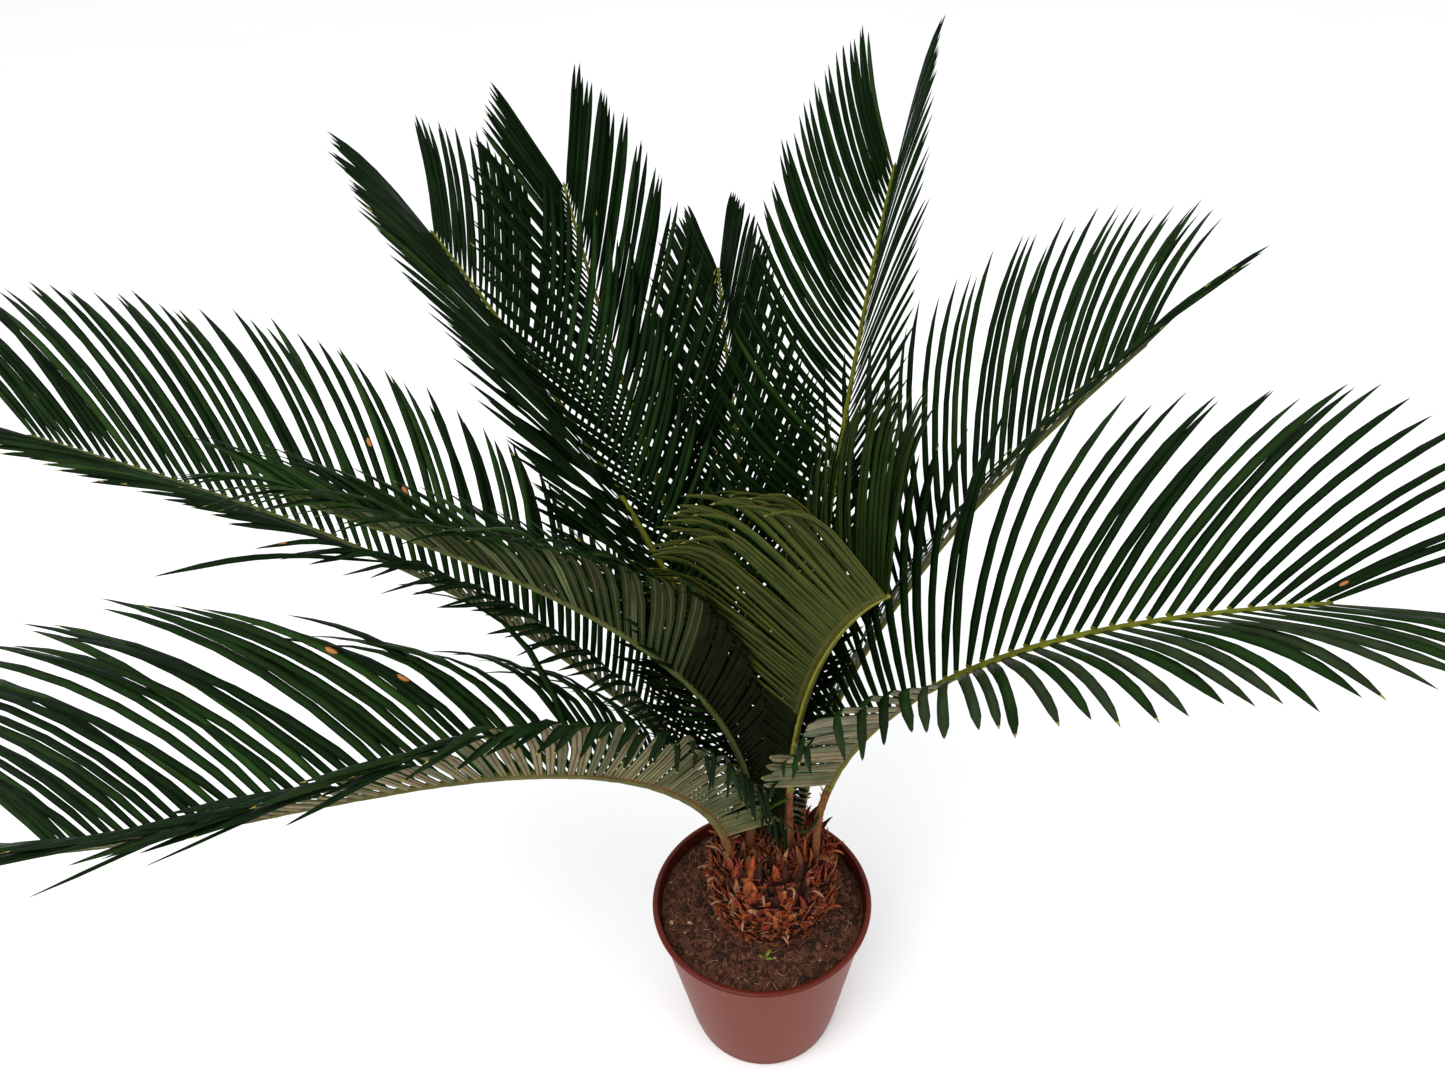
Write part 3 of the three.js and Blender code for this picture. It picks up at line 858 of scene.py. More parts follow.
@dataclass
class Trunk:
    """The squat trunk under its coat of old leaf bases.

    outline holds parts of the height with their radius in millimetres. The shares say how often each
    finish of the coat is dealt on the low and the high half and in the crown, and leanings in which
    direction in degrees, and how strongly, each is drawn. The lengths and half widths of the scales are
    in millimetres and their leans in degrees; by the top they are longer by top_longer and slimmer by
    top_slimmer. A pair of a middle and a stray is given for scale_curl and crown_lean.
    """

    crown: Pair = (7 * MM, 3 * MM)
    foot: float = 101 * MM
    height: float = 55 * MM
    crown_radius: float = 24 * MM
    scales: int = 460
    crown_scales: int = 190
    outline: tuple[Pair, ...] = ((0, 30), (0.1, 31.5), (0.28, 33.0), (0.5, 33), (0.7, 31.5),
                                 (0.84, 28.5), (0.93, 23), (1.0, 12))
    leanings: tuple[Pair, ...] = ((0, 0), (280, 0.9), (215, 0.7), (90, 0.2), (350, 0.7), (0, 0))
    low_shares: tuple[float, ...] = (0.36, 0.11, 0.02, 0.24, 0.19, 0.08)
    high_shares: tuple[float, ...] = (0.38, 0.025, 0.012, 0.28, 0.18, 0.12)
    crown_shares: tuple[float, ...] = (0.36, 0.04, 0.03, 0.25, 0.10, 0.22)
    straw_ends: float = 0.1
    scale_length: Pair = (11, 18)
    scale_width: Pair = (1.6, 3.5)
    scale_lean: Pair = (72, 86)
    scale_curl: Pair = (0.12, 0.4)
    lean_stray: float = 9
    sway_stray: float = 0.28
    top_longer: float = 4
    top_slimmer: float = 0.5
    crown_length: Pair = (7, 16)
    crown_width: Pair = (0.9, 2.1)
    crown_lean: Pair = (80, 10)
    hairs: Hairs = Hairs(520, (5, 13), 0.22 * MM, (0.15, 0.3, 0.55))
    crown_hairs: Hairs = Hairs(360, (7, 17), 0.25 * MM, (0.2, 0.2, 0.6))
    strips: Hairs = Hairs(60, (6, 14), 0.9 * MM, (0.5, 0.2, 0.3))

    golden: ClassVar[float] = math.radians(137.508)
    scale_steps: ClassVar[Array] = np.array([0, 0.16, 0.34, 0.52, 0.7, 0.86, 1.0])
    scale_profile: ClassVar[Array] = np.array([1.0, 1.08, 1.0, 0.84, 0.6, 0.34])
    scale_section: ClassVar[Array] = np.array([(1.0, -0.10), (0.55, 0.20), (0.0, 0.32), (-0.55, 0.20),
                                               (-1.0, -0.10), (0.0, -0.06)])
    strip_profile: ClassVar[Array] = np.array([1.2, 1.2, 1.1, 1.0, 1.0, 0.95, 0.9, 0.85, 0.8, 0.7, 0.5, 0.3])

    def radius(self, part: Array | float) -> Array:
        """The radius of the bare trunk at a part of its height."""
        parts, radii = zip(*self.outline)
        return np.interp(part, parts, radii) * MM

    def build(self) -> None:
        """Makes the bare trunk and clads it."""
        parts = np.linspace(0, 1, 25)
        points = [(0.0, self.foot - 2 * MM)]
        points += [(float(self.radius(part)), self.foot + self.height * part) for part in parts]
        points += [(0.0, self.foot + self.height * 1.03)]
        core = turned("trunk_core", points, 72, [UMBER])
        for vertex in core.data.vertices:
            rough = 1 + 0.05 * noise.noise(vertex.co * 190)
            vertex.co.x = vertex.co.x * rough + self.crown[0]
            vertex.co.y = vertex.co.y * rough + self.crown[1]
        dressed(core, "trunk_scales", "trunk")
        random = np.random.default_rng(SEED + 1)
        self.clad(random)
        self.fuzz(random)

    def clad(self, random: Random) -> None:
        """Lays the leaf bases in rising spirals and stands narrow scales in the crown.

        Args:
            random: where the small irregularities come from.
        """
        coat = Joined("trunk_coat", [RUST, ORANGE, STRAW, UMBER, PLUM, FELT])
        order = np.arange(self.scales)
        every = 0.02 + 0.95 * ((order + 0.5) / self.scales) ** 0.9
        headings = order * self.golden + random.normal(0, 0.05, self.scales)
        for band, shares in ((every < 0.5, self.low_shares), (every >= 0.5, self.high_shares)):
            part, outward = every[band], unit_ring(headings[band])
            high, count = np.clip((part - 0.72) / 0.28, 0, 1), len(part)
            length = random.uniform(*self.scale_length, count) + self.top_longer * high
            width = random.uniform(*self.scale_width, count) - self.top_slimmer * high
            lean = mixed(*self.scale_lean, eased(part)) + random.normal(0, self.lean_stray, count)
            self.lay_scales(coat, random, outward, self.spot(outward, part, -1.0 * MM), length * MM,
                            width * MM, lean, shares)
        count = self.crown_scales
        outward, foot = self.crown_spots(random, count)
        length, width = (random.uniform(*ends, count) for ends in (self.crown_length, self.crown_width))
        lean = random.normal(*self.crown_lean, count)
        self.lay_scales(coat, random, outward, foot, length * MM, width * MM, lean, self.crown_shares)
        dressed(coat.build(), "trunk_scales")

    def lay_scales(self, coat: Joined, random: Random, outward: Array, foot: Array, length: Array,
                   width: Array, lean: Array, shares: Sequence[float]) -> None:
        """Lays curled tongues.

        Args:
            coat: the piece that they join.
            random: where the small irregularities come from.
            outward: the level direction that each leans to.
            foot: where each starts.
            length: their lengths in metres.
            width: half their widths in metres.
            lean: how steep they stand, in degrees.
            shares: how often each finish of the piece is dealt.
        """
        count, steps = len(foot), self.scale_steps
        curl = random.normal(*self.scale_curl, count)[:, None]
        sway = random.normal(0, self.sway_stray, count)[:, None]
        level = beside(outward)[:, None]
        tilt = np.radians(lean)[:, None] - curl * steps ** 2 * 1.6
        tangent = unit(rising(outward, tilt) + (sway * steps)[..., None] * level)
        stretch = np.diff(steps, prepend=0)[:, None]
        path = foot[:, None] + np.cumsum(tangent * stretch, 1) * length[:, None, None]
        side = unit(np.cross(tangent, np.cross(level, tangent)))
        out = np.cross(side, tangent)
        wide = width[:, None, None] * self.scale_profile[:, None]
        x, y = (wide * axis for axis in self.scale_section.T)
        rings = ringed(path[:, :-1], side[:, :-1], out[:, :-1], x, y)
        numbers = np.broadcast_to(self.dealt(random, outward, shares)[:, None, None], rings.shape[:3]).copy()
        numbers[random.random(count) < self.straw_ends, 4:] = coat.number(STRAW)
        coat.add_spikes(rings, path[:, -1], numbers)

    def dealt(self, random: Random, outward: Array, shares: Sequence[float]) -> Array:
        """Deals the coat's finishes, each more often on the side of the trunk that it leans to.

        Args:
            random: where the deal comes from.
            outward: the level direction in which each scale lies.
            shares: how often each finish is dealt on the whole.

        Returns:
            The number of each scale's finish.
        """
        headings, pulls = np.array(self.leanings).T
        weights = np.array(shares) * (1 + pulls * (outward @ unit_ring(np.radians(headings)).T)) ** 2
        limits = np.cumsum(weights / weights.sum(1, keepdims=True), 1)[:, :-1]
        return (random.random((len(outward), 1)) > limits).sum(1)

    def crown_spots(self, random: Random, count: int) -> tuple[Array, Array]:
        """Draws points on the trunk's top.

        Args:
            random: where the draws come from.
            count: how many points.

        Returns:
            Their level directions from the trunk's axis, and the points.
        """
        outward = unit_ring(random.uniform(0, TURN, count))
        out = np.sqrt(random.uniform(0.02, 1, count)) * self.crown_radius
        foot = outward * out[:, None] + (*self.crown, self.foot)
        foot[:, 2] += (self.height - (out / (26 * MM)) ** 2 * 8 * MM) * 0.97
        return outward, foot

    def spot(self, outward: Array, part: Array, out: float) -> Array:
        """Points by the trunk's side.

        Args:
            outward: their level directions from its axis.
            part: the parts of its height where they lie.
            out: how far they stand out from it, in metres.

        Returns:
            The points.
        """
        points = outward * (self.radius(part) + out)[:, None] + (*self.crown, self.foot)
        points[:, 2] += self.height * part
        return points

    def fuzz(self, random: Random) -> None:
        """Covers the coat with loose curled hairs.

        Args:
            random: where their places and shapes come from.
        """
        piece = Joined("trunk_hairs", [STRAW, ORANGE, RUST])
        kind = self.hairs
        part = random.uniform(0.04, 1.0, kind.count)
        outward = unit_ring(random.uniform(0, TURN, kind.count))
        steps = np.linspace(0, 1, 7)
        turn = random.normal(0, 1.6, kind.count)[:, None] * steps
        spin = random.uniform(0, TURN, kind.count)[:, None] + turn
        run = rising(beside(outward), spin) + 0.45 * outward[:, None] * (1 - steps)[:, None]
        path = strung(self.spot(outward, part, 2.5 * MM), run, kind.lengths(random))
        add_threads(piece, path, kind.radius, kind.kinds(random), sides=4)
        kind = self.crown_hairs
        foot = self.crown_spots(random, kind.count)[1]
        lean, bend = (random.normal(0, stray, (kind.count, 1, 2)) for stray in (0.45, 0.9))
        level = lean + bend * steps[:, None] ** 2
        run = np.concatenate([level, np.ones((kind.count, len(steps), 1))], -1)
        add_threads(piece, strung(foot, run, kind.lengths(random)), kind.radius, kind.kinds(random), sides=4)
        self.curl_strips(piece, random)
        dressed(piece.build(), "trunk_scales")

    def curl_strips(self, piece: Joined, random: Random) -> None:
        """Hangs the torn strips of old leaf bases, which curl down over the coat.

        Args:
            piece: the piece that they join.
            random: where their places and shapes come from.
        """
        kind = self.strips
        part = random.uniform(0.2, 0.98, kind.count)
        outward = unit_ring(random.uniform(0, TURN, kind.count))
        steps = np.linspace(0, 1, len(self.strip_profile))
        raised, curl = (random.uniform(*ends, kind.count)[:, None] for ends in ((1.3, 1.9), (1.4, 3.4)))
        sway, swing = (random.normal(0, stray, kind.count)[:, None] for stray in (0.5, 1.2))
        run = (rising(outward, raised - curl * steps)
               + 0.5 * np.sin(sway + swing * steps)[..., None] * beside(outward)[:, None])
        path = strung(self.spot(outward, part, 3.0 * MM), run, kind.lengths(random))
        add_threads(piece, path, kind.radius * self.strip_profile, kind.kinds(random), flat=0.35)


# Fronds


class Side(Enum):
    """The side of a rib, looking outwards along it."""

    RIGHT = 1
    LEFT = -1


@dataclass(frozen=True)
class Arch:
    """How the leaflets of one side lie at one place along the frond.

    at is the part of the blade, and head the direction that the tips take, as shares ahead, aside and
    straight up, all zero where nothing folds over. middle is where along the leaflet the fold lies and
    width how much of the leaflet it takes. The root is raised by lifted and leans back by leant, in
    degrees, reach and broad are the length and the width as shares of the frond's own, and often is the
    share of the leaflets that fold over. neck is the width of the root as a share of the whole, light
    shifts the deal of the tones towards the lighter ones, pinch narrows the part that is folded over, and
    loose is how much the directions of the tips stray.
    """

    at: float = 0
    head: Triple = (0, 0, 0)
    middle: float = 0.6
    width: float = 0.5
    lifted: float = 0
    leant: float = 0
    reach: float = 1
    broad: float = 1
    often: float = 1
    neck: float = 0.62
    # light paints light and shade: below zero it deals darker tones to leaflets that lie in shade, above zero
    # lighter tones to leaflets that show a sheen
    light: float = 0
    pinch: float = 0
    loose: float = 1


@dataclass(frozen=True)
class Row:
    """The arches of one side of a frond, from the stalk to the end."""

    arches: tuple[Arch, ...] = (Arch(),)

    def values(self, name: str, w: Array) -> Array:
        """One size of the arches at parts w of the blade."""
        return np.interp(w, [arch.at for arch in self.arches], [getattr(arch, name) for arch in self.arches])

    def heads(self, w: Array) -> Array:
        """The directions of the tips at parts w of the blade, or zeros where nothing folds."""
        axes = np.array([arch.head for arch in self.arches]).T
        return np.stack([np.interp(w, [arch.at for arch in self.arches], axis) for axis in axes], -1)


class Section:
    """A leaflet's section: a keeled upper face, rolled margins, and a midrib between two pale bands."""

    CORNERS: ClassVar[Array] = np.array([(1.0, -0.12), (0.0, 0.09), (-1.0, -0.12), (-0.78, -0.27),
                                         (-0.2, -0.09), (0.0, -0.2), (0.2, -0.09), (0.78, -0.27)])
    UPPER: ClassVar[list[int]] = [0, 1]
    ROLL: ClassVar[list[int]] = [2, 7]
    PALE: ClassVar[list[int]] = [3, 6]
    MIDRIB: ClassVar[list[int]] = [4, 5]


@dataclass(frozen=True)
class Dress:
    """The finishes of one frond's leaflets and rib, and how often each upper tone is dealt.

    The leaflets up to the part shaded_to of the blade have the shaded finish, which paints the shade that
    falls on the low leaflets; the rib is felted up to the part felted of its length, and tipped is the
    share of the leaflets whose points are ochre.
    """

    uppers: tuple[Finish, ...] = (DEEP, GREEN, FRESH)
    shares: tuple[float, ...] = (0.5, 0.4, 0.1)
    pales: tuple[Finish, ...] = (UNDER_SAGE, UNDER_PALE, UNDER_WARM)
    pale_shares: tuple[float, ...] = (0.25, 0.45, 0.3)
    roll: Finish = LEAF_ROLL
    midrib: Finish = MIDRIB
    joint: Finish = JOINT
    rib_top: Finish = RIB_YELLOW
    rib_under: Finish = RIB_SAGE
    shaded: Finish = DEEP
    shaded_to: float = 0
    felted: float = 0.08
    tipped: float = 0.4

    def finishes(self) -> list[Finish]:
        """Every finish once, in slot order."""
        others = (self.roll, self.midrib, self.shaded, self.rib_top, self.joint, TIP, SPOT)
        return list(dict.fromkeys([*self.uppers, *self.pales, *others]))


@dataclass(frozen=True)
class Unevenness:
    """How much leaflets differ from their neighbours, each as a standard deviation.

    swing, vee and twist are angles in degrees, fold and head the place and the direction of the fold,
    and hook, length and width are shares of their own middle values.
    """

    swing: float = 1.8
    vee: float = 2.2
    twist: float = 9
    fold: float = 0.03
    head: float = 0.1
    hook: float = 0.15
    length: float = 0.03
    width: float = 0.05


@dataclass
class Frond:
    """One frond, by the sizes of its solid: angles in degrees and lengths in millimetres.

    The rib starts at seat, a heading and a distance from the trunk's axis. It leaves at heading and
    lift, and by its end it has turned by sweep and sunk by droop, the earlier the greater bend is. roll
    turns it about itself. leaf is the length of the longest leaflets, vee how steep they stand on the
    rib's face and spread how far they stand off its run, each near the stalk and near the end, and
    closing how late spread changes. hook bends them ahead, curl down from the rib's face and sag
    straight down. pitch is their distance near the stalk and near the end, lowest the length of the
    lowest as a share of leaf, first the part of the rib where they start, and unruly how much they
    stray. stout is the rib's width as a share of the usual one, and seated how far out and up in the
    rib the leaflets are rooted, as shares of its half width and height. marks are orange spots, by
    side, place along the blade, place along the leaflet and size. strays are leaflets that stand
    apart, by side, place, lean, lift and length.
    """

    name: str
    heading: float
    sweep: float
    lift: float
    droop: float
    bend: float
    length: float
    seat: Pair
    vee: Pair
    roll: float
    leaf: float
    spread: Pair = (78, 20)
    closing: float = 0.9
    hook: float = 0.15
    curl: float = 0.12
    sag: float = 0.05
    width: float = 5.4
    pitch: Pair = (5.6, 8.6)
    lowest: float = 0.3
    first: float = 0.13
    unruly: float = 1
    stout: float = 1
    seated: Pair = (0.75, 0.4)
    marks: tuple[tuple[Side, float, float, float], ...] = ()
    strays: tuple[tuple[Side, float, float, float, float], ...] = ()
    right: Row = Row()
    left: Row = Row()
    dress: Dress = Dress()

    crown: ClassVar[Triple] = (7, 3, 150)
    leafless: ClassVar[float] = 0.13
    vee_settles: ClassVar[float] = 0.6
    path_steps: ClassVar[int] = 48
    rib_steps: ClassVar[int] = 240
    rib_sides: ClassVar[int] = 12
    ring_shares: ClassVar[Array] = np.array([0.17, 0.33, 0.49, 0.64, 0.78, 0.89])
    rib_width: ClassVar[Pair] = (2.5, 0.75)
    rib_height: ClassVar[Pair] = (2.3, 0.8)
    foot_flare: ClassVar[float] = 1.8
    first_spine: ClassVar[float] = 0.055
    spine_pitch: ClassVar[float] = 5.5
    spine_length: ClassVar[Pair] = (2.2, 6.5)
    spine_radii: ClassVar[Array] = np.array([0.7, 0.5, 0.3, 0.1]) * MM
    uneven: ClassVar[Unevenness] = Unevenness()

    @property
    def slot(self) -> str:
        """The slot of the leaflets and the rib."""
        return "frond_pale" if self.name == "young" else "frond_green"

    def bearing(self, part: Array) -> Array:
        """The rib's heading in radians at parts of its length."""
        return np.radians(self.heading + self.sweep * part ** 2)

    def frames(self, part: Array) -> tuple[Array, Array, Array]:
        """The rib's directions at parts of its length.

        Args:
            part: parts of the length, from 0 at the seat to 1 at the end.

        Returns:
            Unit vectors along the rib, across it to the right, and up out of its face.
        """
        tilt = np.radians(self.lift - self.droop * (1 - (1 - part) ** self.bend))[:, None]
        ahead = unit_ring(self.bearing(part))
        along = np.cos(tilt) * ahead + np.sin(tilt) * UP
        level = -beside(ahead)
        top = np.cross(level, along)
        return along, *spun(level, top, math.radians(self.roll))

    def rib_points(self, part: Array) -> Array:
        """The middle line of the rib.

        Args:
            part: parts of its length.

        Returns:
            The points there, in metres.
        """
        middles = (np.arange(self.rib_steps) + 0.5) / self.rib_steps
        start = self.crown + self.seat[1] * unit_ring(np.radians(self.seat[0]))
        run = np.cumsum(self.frames(middles)[0] * self.length / self.rib_steps, 0)
        points = start + np.concatenate([[[0, 0, 0]], run])
        ticks = np.linspace(0, 1, len(points))
        return np.stack([np.interp(part, ticks, axis) for axis in points.T], -1) * MM

    def half_width(self, part: Array) -> Array:
        """Half the rib's width, which flares at the foot.

        Args:
            part: parts of its length.

        Returns:
            The half width there, in millimetres.
        """
        slim = mixed(*self.rib_width, part) * self.stout
        flare = self.foot_flare * np.maximum(0, 1 - part / 0.1) ** 2
        return mixed(self.rib_width[0], slim, np.minimum(1, part / 0.2)) + flare

    def half_height(self, part: Array) -> Array:
        """Half the rib's height at parts of its length, in millimetres."""
        return mixed(*self.rib_height, part)

    def places(self) -> Array:
        """The parts of the rib's length where leaflets grow, closer together near the stalk."""
        part, parts = self.first, []
        while part < 1 - 2 / self.length:
            parts.append(part)
            along = max(0.0, (part - self.leafless) / (1 - self.leafless))
            step = mixed(*self.pitch, float(eased(np.array(along / 0.6))))
            part += mixed(step, step * 0.62, max(0.0, (along - 0.85) / 0.15)) / self.length
        return np.array(parts)

    def leaf_length(self, w: Array) -> Array:
        """Leaflet lengths in millimetres at parts w of the blade."""
        rise = mixed(self.lowest, 1, np.sin(math.pi / 2 * np.minimum(1, w / 0.4)))
        return self.leaf * rise * (1 - 0.34 * (np.maximum(0, w - 0.7) / 0.3) ** 2)

    def build(self, index: int) -> None:
        """Grows the leaflets and the rib.

        Args:
            index: the frond's place in the crown, which seeds its small irregularities.
        """
        random = np.random.default_rng(SEED + 10 + index)
        blades = Joined("leaflets_" + self.name, self.dress.finishes())
        for side, row in ((Side.RIGHT, self.right), (Side.LEFT, self.left)):
            self.grow_side(blades, side, row, random)
        dressed(blades.build(), self.slot, "frond_" + self.name)
        self.build_rib(random)

    def grow_side(self, blades: Joined, side: Side, row: Row, random: Random) -> None:
        """Grows all the leaflets of one side.

        Args:
            blades: the piece that they join.
            side: the side of the rib.
            row: how they lie there.
            random: where the small irregularities come from.
        """
        parts = self.places()
        if side is Side.LEFT:
            parts = parts + 0.4 * self.pitch[1] / self.length * (parts < 0.97)
        w = np.maximum(0, (parts - self.leafless) / (1 - self.leafless))
        paths, over = self.paths(parts, w, side, row, random)
        at = self.ring_places(w, row)
        centres, over = sampled(paths, at), sampled(over, at)
        tangents = unit(sampled(np.gradient(paths, axis=1), at))
        along, across, _ = (axis[:, None] for axis in self.frames(parts))
        flat = over * np.maximum(0, row.heads(w)[:, None, :1]) ** 2
        guide = along * (1 - flat) - across * side.value * flat
        edge = unit(guide - tangents * np.sum(guide * tangents, -1, keepdims=True)) * side.value
        face = np.cross(tangents, edge)
        twist = np.radians(random.normal(0, self.uneven.twist, len(w)))[:, None, None] * at[..., None]
        edge, face = spun(edge, face, twist)
        wide = (self.blade_width(w, random) * row.values("broad", w) / 2)[:, None]
        wide = wide * outline_width(at, row.values("neck", w)[:, None])
        wide *= 1 - row.values("pinch", w)[:, None] * over[..., 0]
        x, y = (wide[:, :-1, None] * axis for axis in Section.CORNERS.T)
        numbers = self.deal(blades, row, at.shape[1] - 1, w, random)
        blade = np.broadcast_arrays(Section.CORNERS[:, 0] / 2 + 0.5, at[:, :-1, None])
        rings = ringed(centres[:, :-1], edge[:, :-1], face[:, :-1], x, y)
        blades.add_spikes(rings, centres[:, -1], numbers, np.stack(blade, -1))
        for _, place, along_leaf, size in (mark for mark in self.marks if mark[0] is side):
            leaf = int(np.argmin(np.abs(w - place)))
            ring = min(int(np.argmin(np.abs(at[leaf] - along_leaf))), at.shape[1] - 2)
            self.add_spot(blades, centres[leaf, ring:ring + 2], edge[leaf, ring], face[leaf, ring], size)

    def blade_width(self, w: Array, random: Random) -> Array:
        """The greatest width of each leaflet, in metres."""
        young = mixed(0.62, 1, eased(w / 0.32)) * mixed(1, 0.8, eased((w - 0.75) / 0.25))
        return self.width * young * random.normal(1, self.uneven.width, len(w)) * MM

    def ring_places(self, w: Array, row: Row) -> Array:
        """Where along each leaflet its rings lie: closer together at the root and where it turns over.

        Args:
            w: the leaflets' places along the blade.
            row: how they lie.

        Returns:
            Parts of the length, by leaflet and ring.
        """
        middle, width = (row.values(name, w)[:, None] for name in ("middle", "width"))
        folds = np.linalg.norm(row.heads(w), axis=-1, keepdims=True) > 0
        fine = np.linspace(0, 1, 101)
        weight = 1 + 3.5 * folds * np.exp(-((fine - middle) / (0.55 * width)) ** 2)
        share = np.cumsum(weight, 1) - weight[:, :1]
        spread = np.array([np.interp(self.ring_shares, line / line[-1], fine) for line in share])
        collar = 0.012 + 0.014 * (row.values("neck", w) > 0.8)
        root = np.stack([np.zeros(len(w)), collar], 1)
        end = np.broadcast_to(np.array([0.965, 1.0]), root.shape)
        return np.concatenate([root, np.minimum(spread, 0.93), end], 1)

    def paths(self, parts: Array, w: Array, side: Side, row: Row, random: Random) -> tuple[Array, Array]:
        """The middle line of each leaflet.

        Args:
            parts: where along the rib the leaflets grow.
            w: the same as parts of the blade.
            side: the side of the rib.
            row: how that side arches over.
            random: where the small irregularities come from.

        Returns:
            The points of each line, in metres, from inside the rib to the tip, and how far the leaflet
            has folded over at each.
        """
        count, uneven = len(parts), self.uneven
        along, across, up = (axis[:, None] for axis in self.frames(parts))
        across = across * side.value
        leant, lifted, reach = (row.values(name, w) for name in ("leant", "lifted", "reach"))
        for _, place, lean, lift, longer in (stray for stray in self.strays if stray[0] is side):
            leaf = int(np.argmin(np.abs(w - place)))
            leant[leaf] += lean
            lifted[leaf] += lift
            reach[leaf] *= longer
        swing = (mixed(*self.spread, w ** self.closing) + leant
                 + random.normal(0, uneven.swing, count) * self.unruly)
        vee = (mixed(*self.vee, np.minimum(1, w / self.vee_settles)) + lifted
               + random.normal(0, uneven.vee, count) * self.unruly)
        swing, vee = (np.radians(angle)[:, None, None] for angle in (swing, vee))
        t = ((np.arange(self.path_steps) + 0.5) / self.path_steps)[:, None]
        middle = (row.values("middle", w) + random.normal(0, uneven.fold, count))[:, None, None]
        over = eased((t - middle) / row.values("width", w)[:, None, None] + 0.5)
        hook = self.hook * random.normal(1, uneven.hook, count)[:, None, None]
        straight = (along * (np.cos(swing) + 2 * hook * t) + across * np.sin(swing) * np.cos(vee)
                    + up * (np.sin(swing) * np.sin(vee) - 3 * self.curl * t ** 2))
        heads = row.heads(w)
        folds = np.minimum(1, np.linalg.norm(heads, axis=-1, keepdims=True))
        folds = folds * (random.random(count) < row.values("often", w))[:, None]
        heads = heads + folds * random.normal(0, uneven.head, (count, 3)) * row.values("loose", w)[:, None]
        ahead, aside = (unit_ring(self.bearing(parts) - turn) for turn in (0, side.value * math.pi / 2))
        heads = ahead * heads[:, :1] + aside * heads[:, 1:2] + UP * heads[:, 2:]
        over = over * folds[:, None]
        pace = np.linalg.norm(straight, axis=-1, keepdims=True)
        run = unit(straight * (1 - over) + heads[:, None] * over) * pace - 2 * self.sag * t * UP
        length = self.leaf_length(w) * reach * random.normal(1, uneven.length * self.unruly, count) * MM
        steps = np.cumsum(run, 1) * (length / self.path_steps)[:, None, None]
        out, high = self.half_width(parts) * self.seated[0], self.half_height(parts) * self.seated[1]
        root = (across * out[:, None, None] + up * high[:, None, None]) * MM
        start = self.rib_points(parts)[:, None] + root
        return np.concatenate([start, start + steps], 1), np.concatenate([over[:, :1], over], 1)

    def deal(self, blades: Joined, row: Row, rings: int, w: Array, random: Random) -> Array:
        """Deals the finishes out to the faces of each leaflet.

        Args:
            blades: the piece whose slots they go to.
            row: the side of the frond that the leaflets grow on.
            rings: how many stretches each has.
            w: their places along the blade.
            random: where the deal comes from.

        Returns:
            Slot numbers, by leaflet, stretch and place round the section.
        """
        # light is painted light and shade: it moves each leaflet's tone darker where it lies in shade and
        # lighter where it shows a sheen
        dress, count, light = self.dress, len(w), row.values("light", w)
        numbers = np.zeros((count, rings, len(Section.CORNERS)), int)
        for places, finishes, shares in ((Section.UPPER, dress.uppers, dress.shares),
                                         (Section.PALE, dress.pales, dress.pale_shares)):
            dealt = picked(blades, finishes, shares, random.random(count) + light)
            numbers[:, :, places] = dealt[:, None, None]
        numbers[:, :, Section.ROLL] = blades.number(dress.roll)
        numbers[:, :, Section.MIDRIB] = blades.number(dress.midrib)
        numbers[:, 0] = blades.number(dress.joint)
        numbers[:, 0, Section.UPPER] = blades.number(dress.rib_top)
        numbers[random.random(count) < dress.tipped, -1] = blades.number(TIP)
        # Painted shade: the low leaflets up to shaded_to take the shaded finish whole
        low = np.maximum(0.001, w + random.normal(0, 0.015, count)) < dress.shaded_to
        numbers[low] = blades.number(dress.shaded)
        return numbers

    def add_spot(self, blades: Joined, centres: Array, edge: Array, face: Array, size: float) -> None:
        """Adds a small orange patch on one leaflet.

        Args:
            blades: the piece that it joins.
            centres: two points of the leaflet's middle line, the first of them under the patch.
            edge: the unit vector across the leaflet.
            face: the unit vector out of its upper face.
            size: the patch's size, 1 where it is about 7 mm long.
        """
        run = unit(centres[1] - centres[0])
        middle = centres[0] + (0.05 * face - 0.5 * edge) * MM
        lines = middle + run * np.array([-3.6, -2.2, 0.0, 2.2, 3.6])[:, None] * size * MM
        wide = np.array([0.35, 1.3, 1.5, 1.2])[:, None] * size * MM
        corners = np.array([(1.0, 0.0), (0.0, 1.0), (-1.0, 0.0), (0.0, -1.0)])
        rings = ringed(lines[:-1], edge, face, wide * corners[:, 0], 0.26 * MM * corners[:, 1])
        blades.add_spikes(rings[None], lines[None, -1], np.full((1, 4, 4), blades.number(SPOT)))

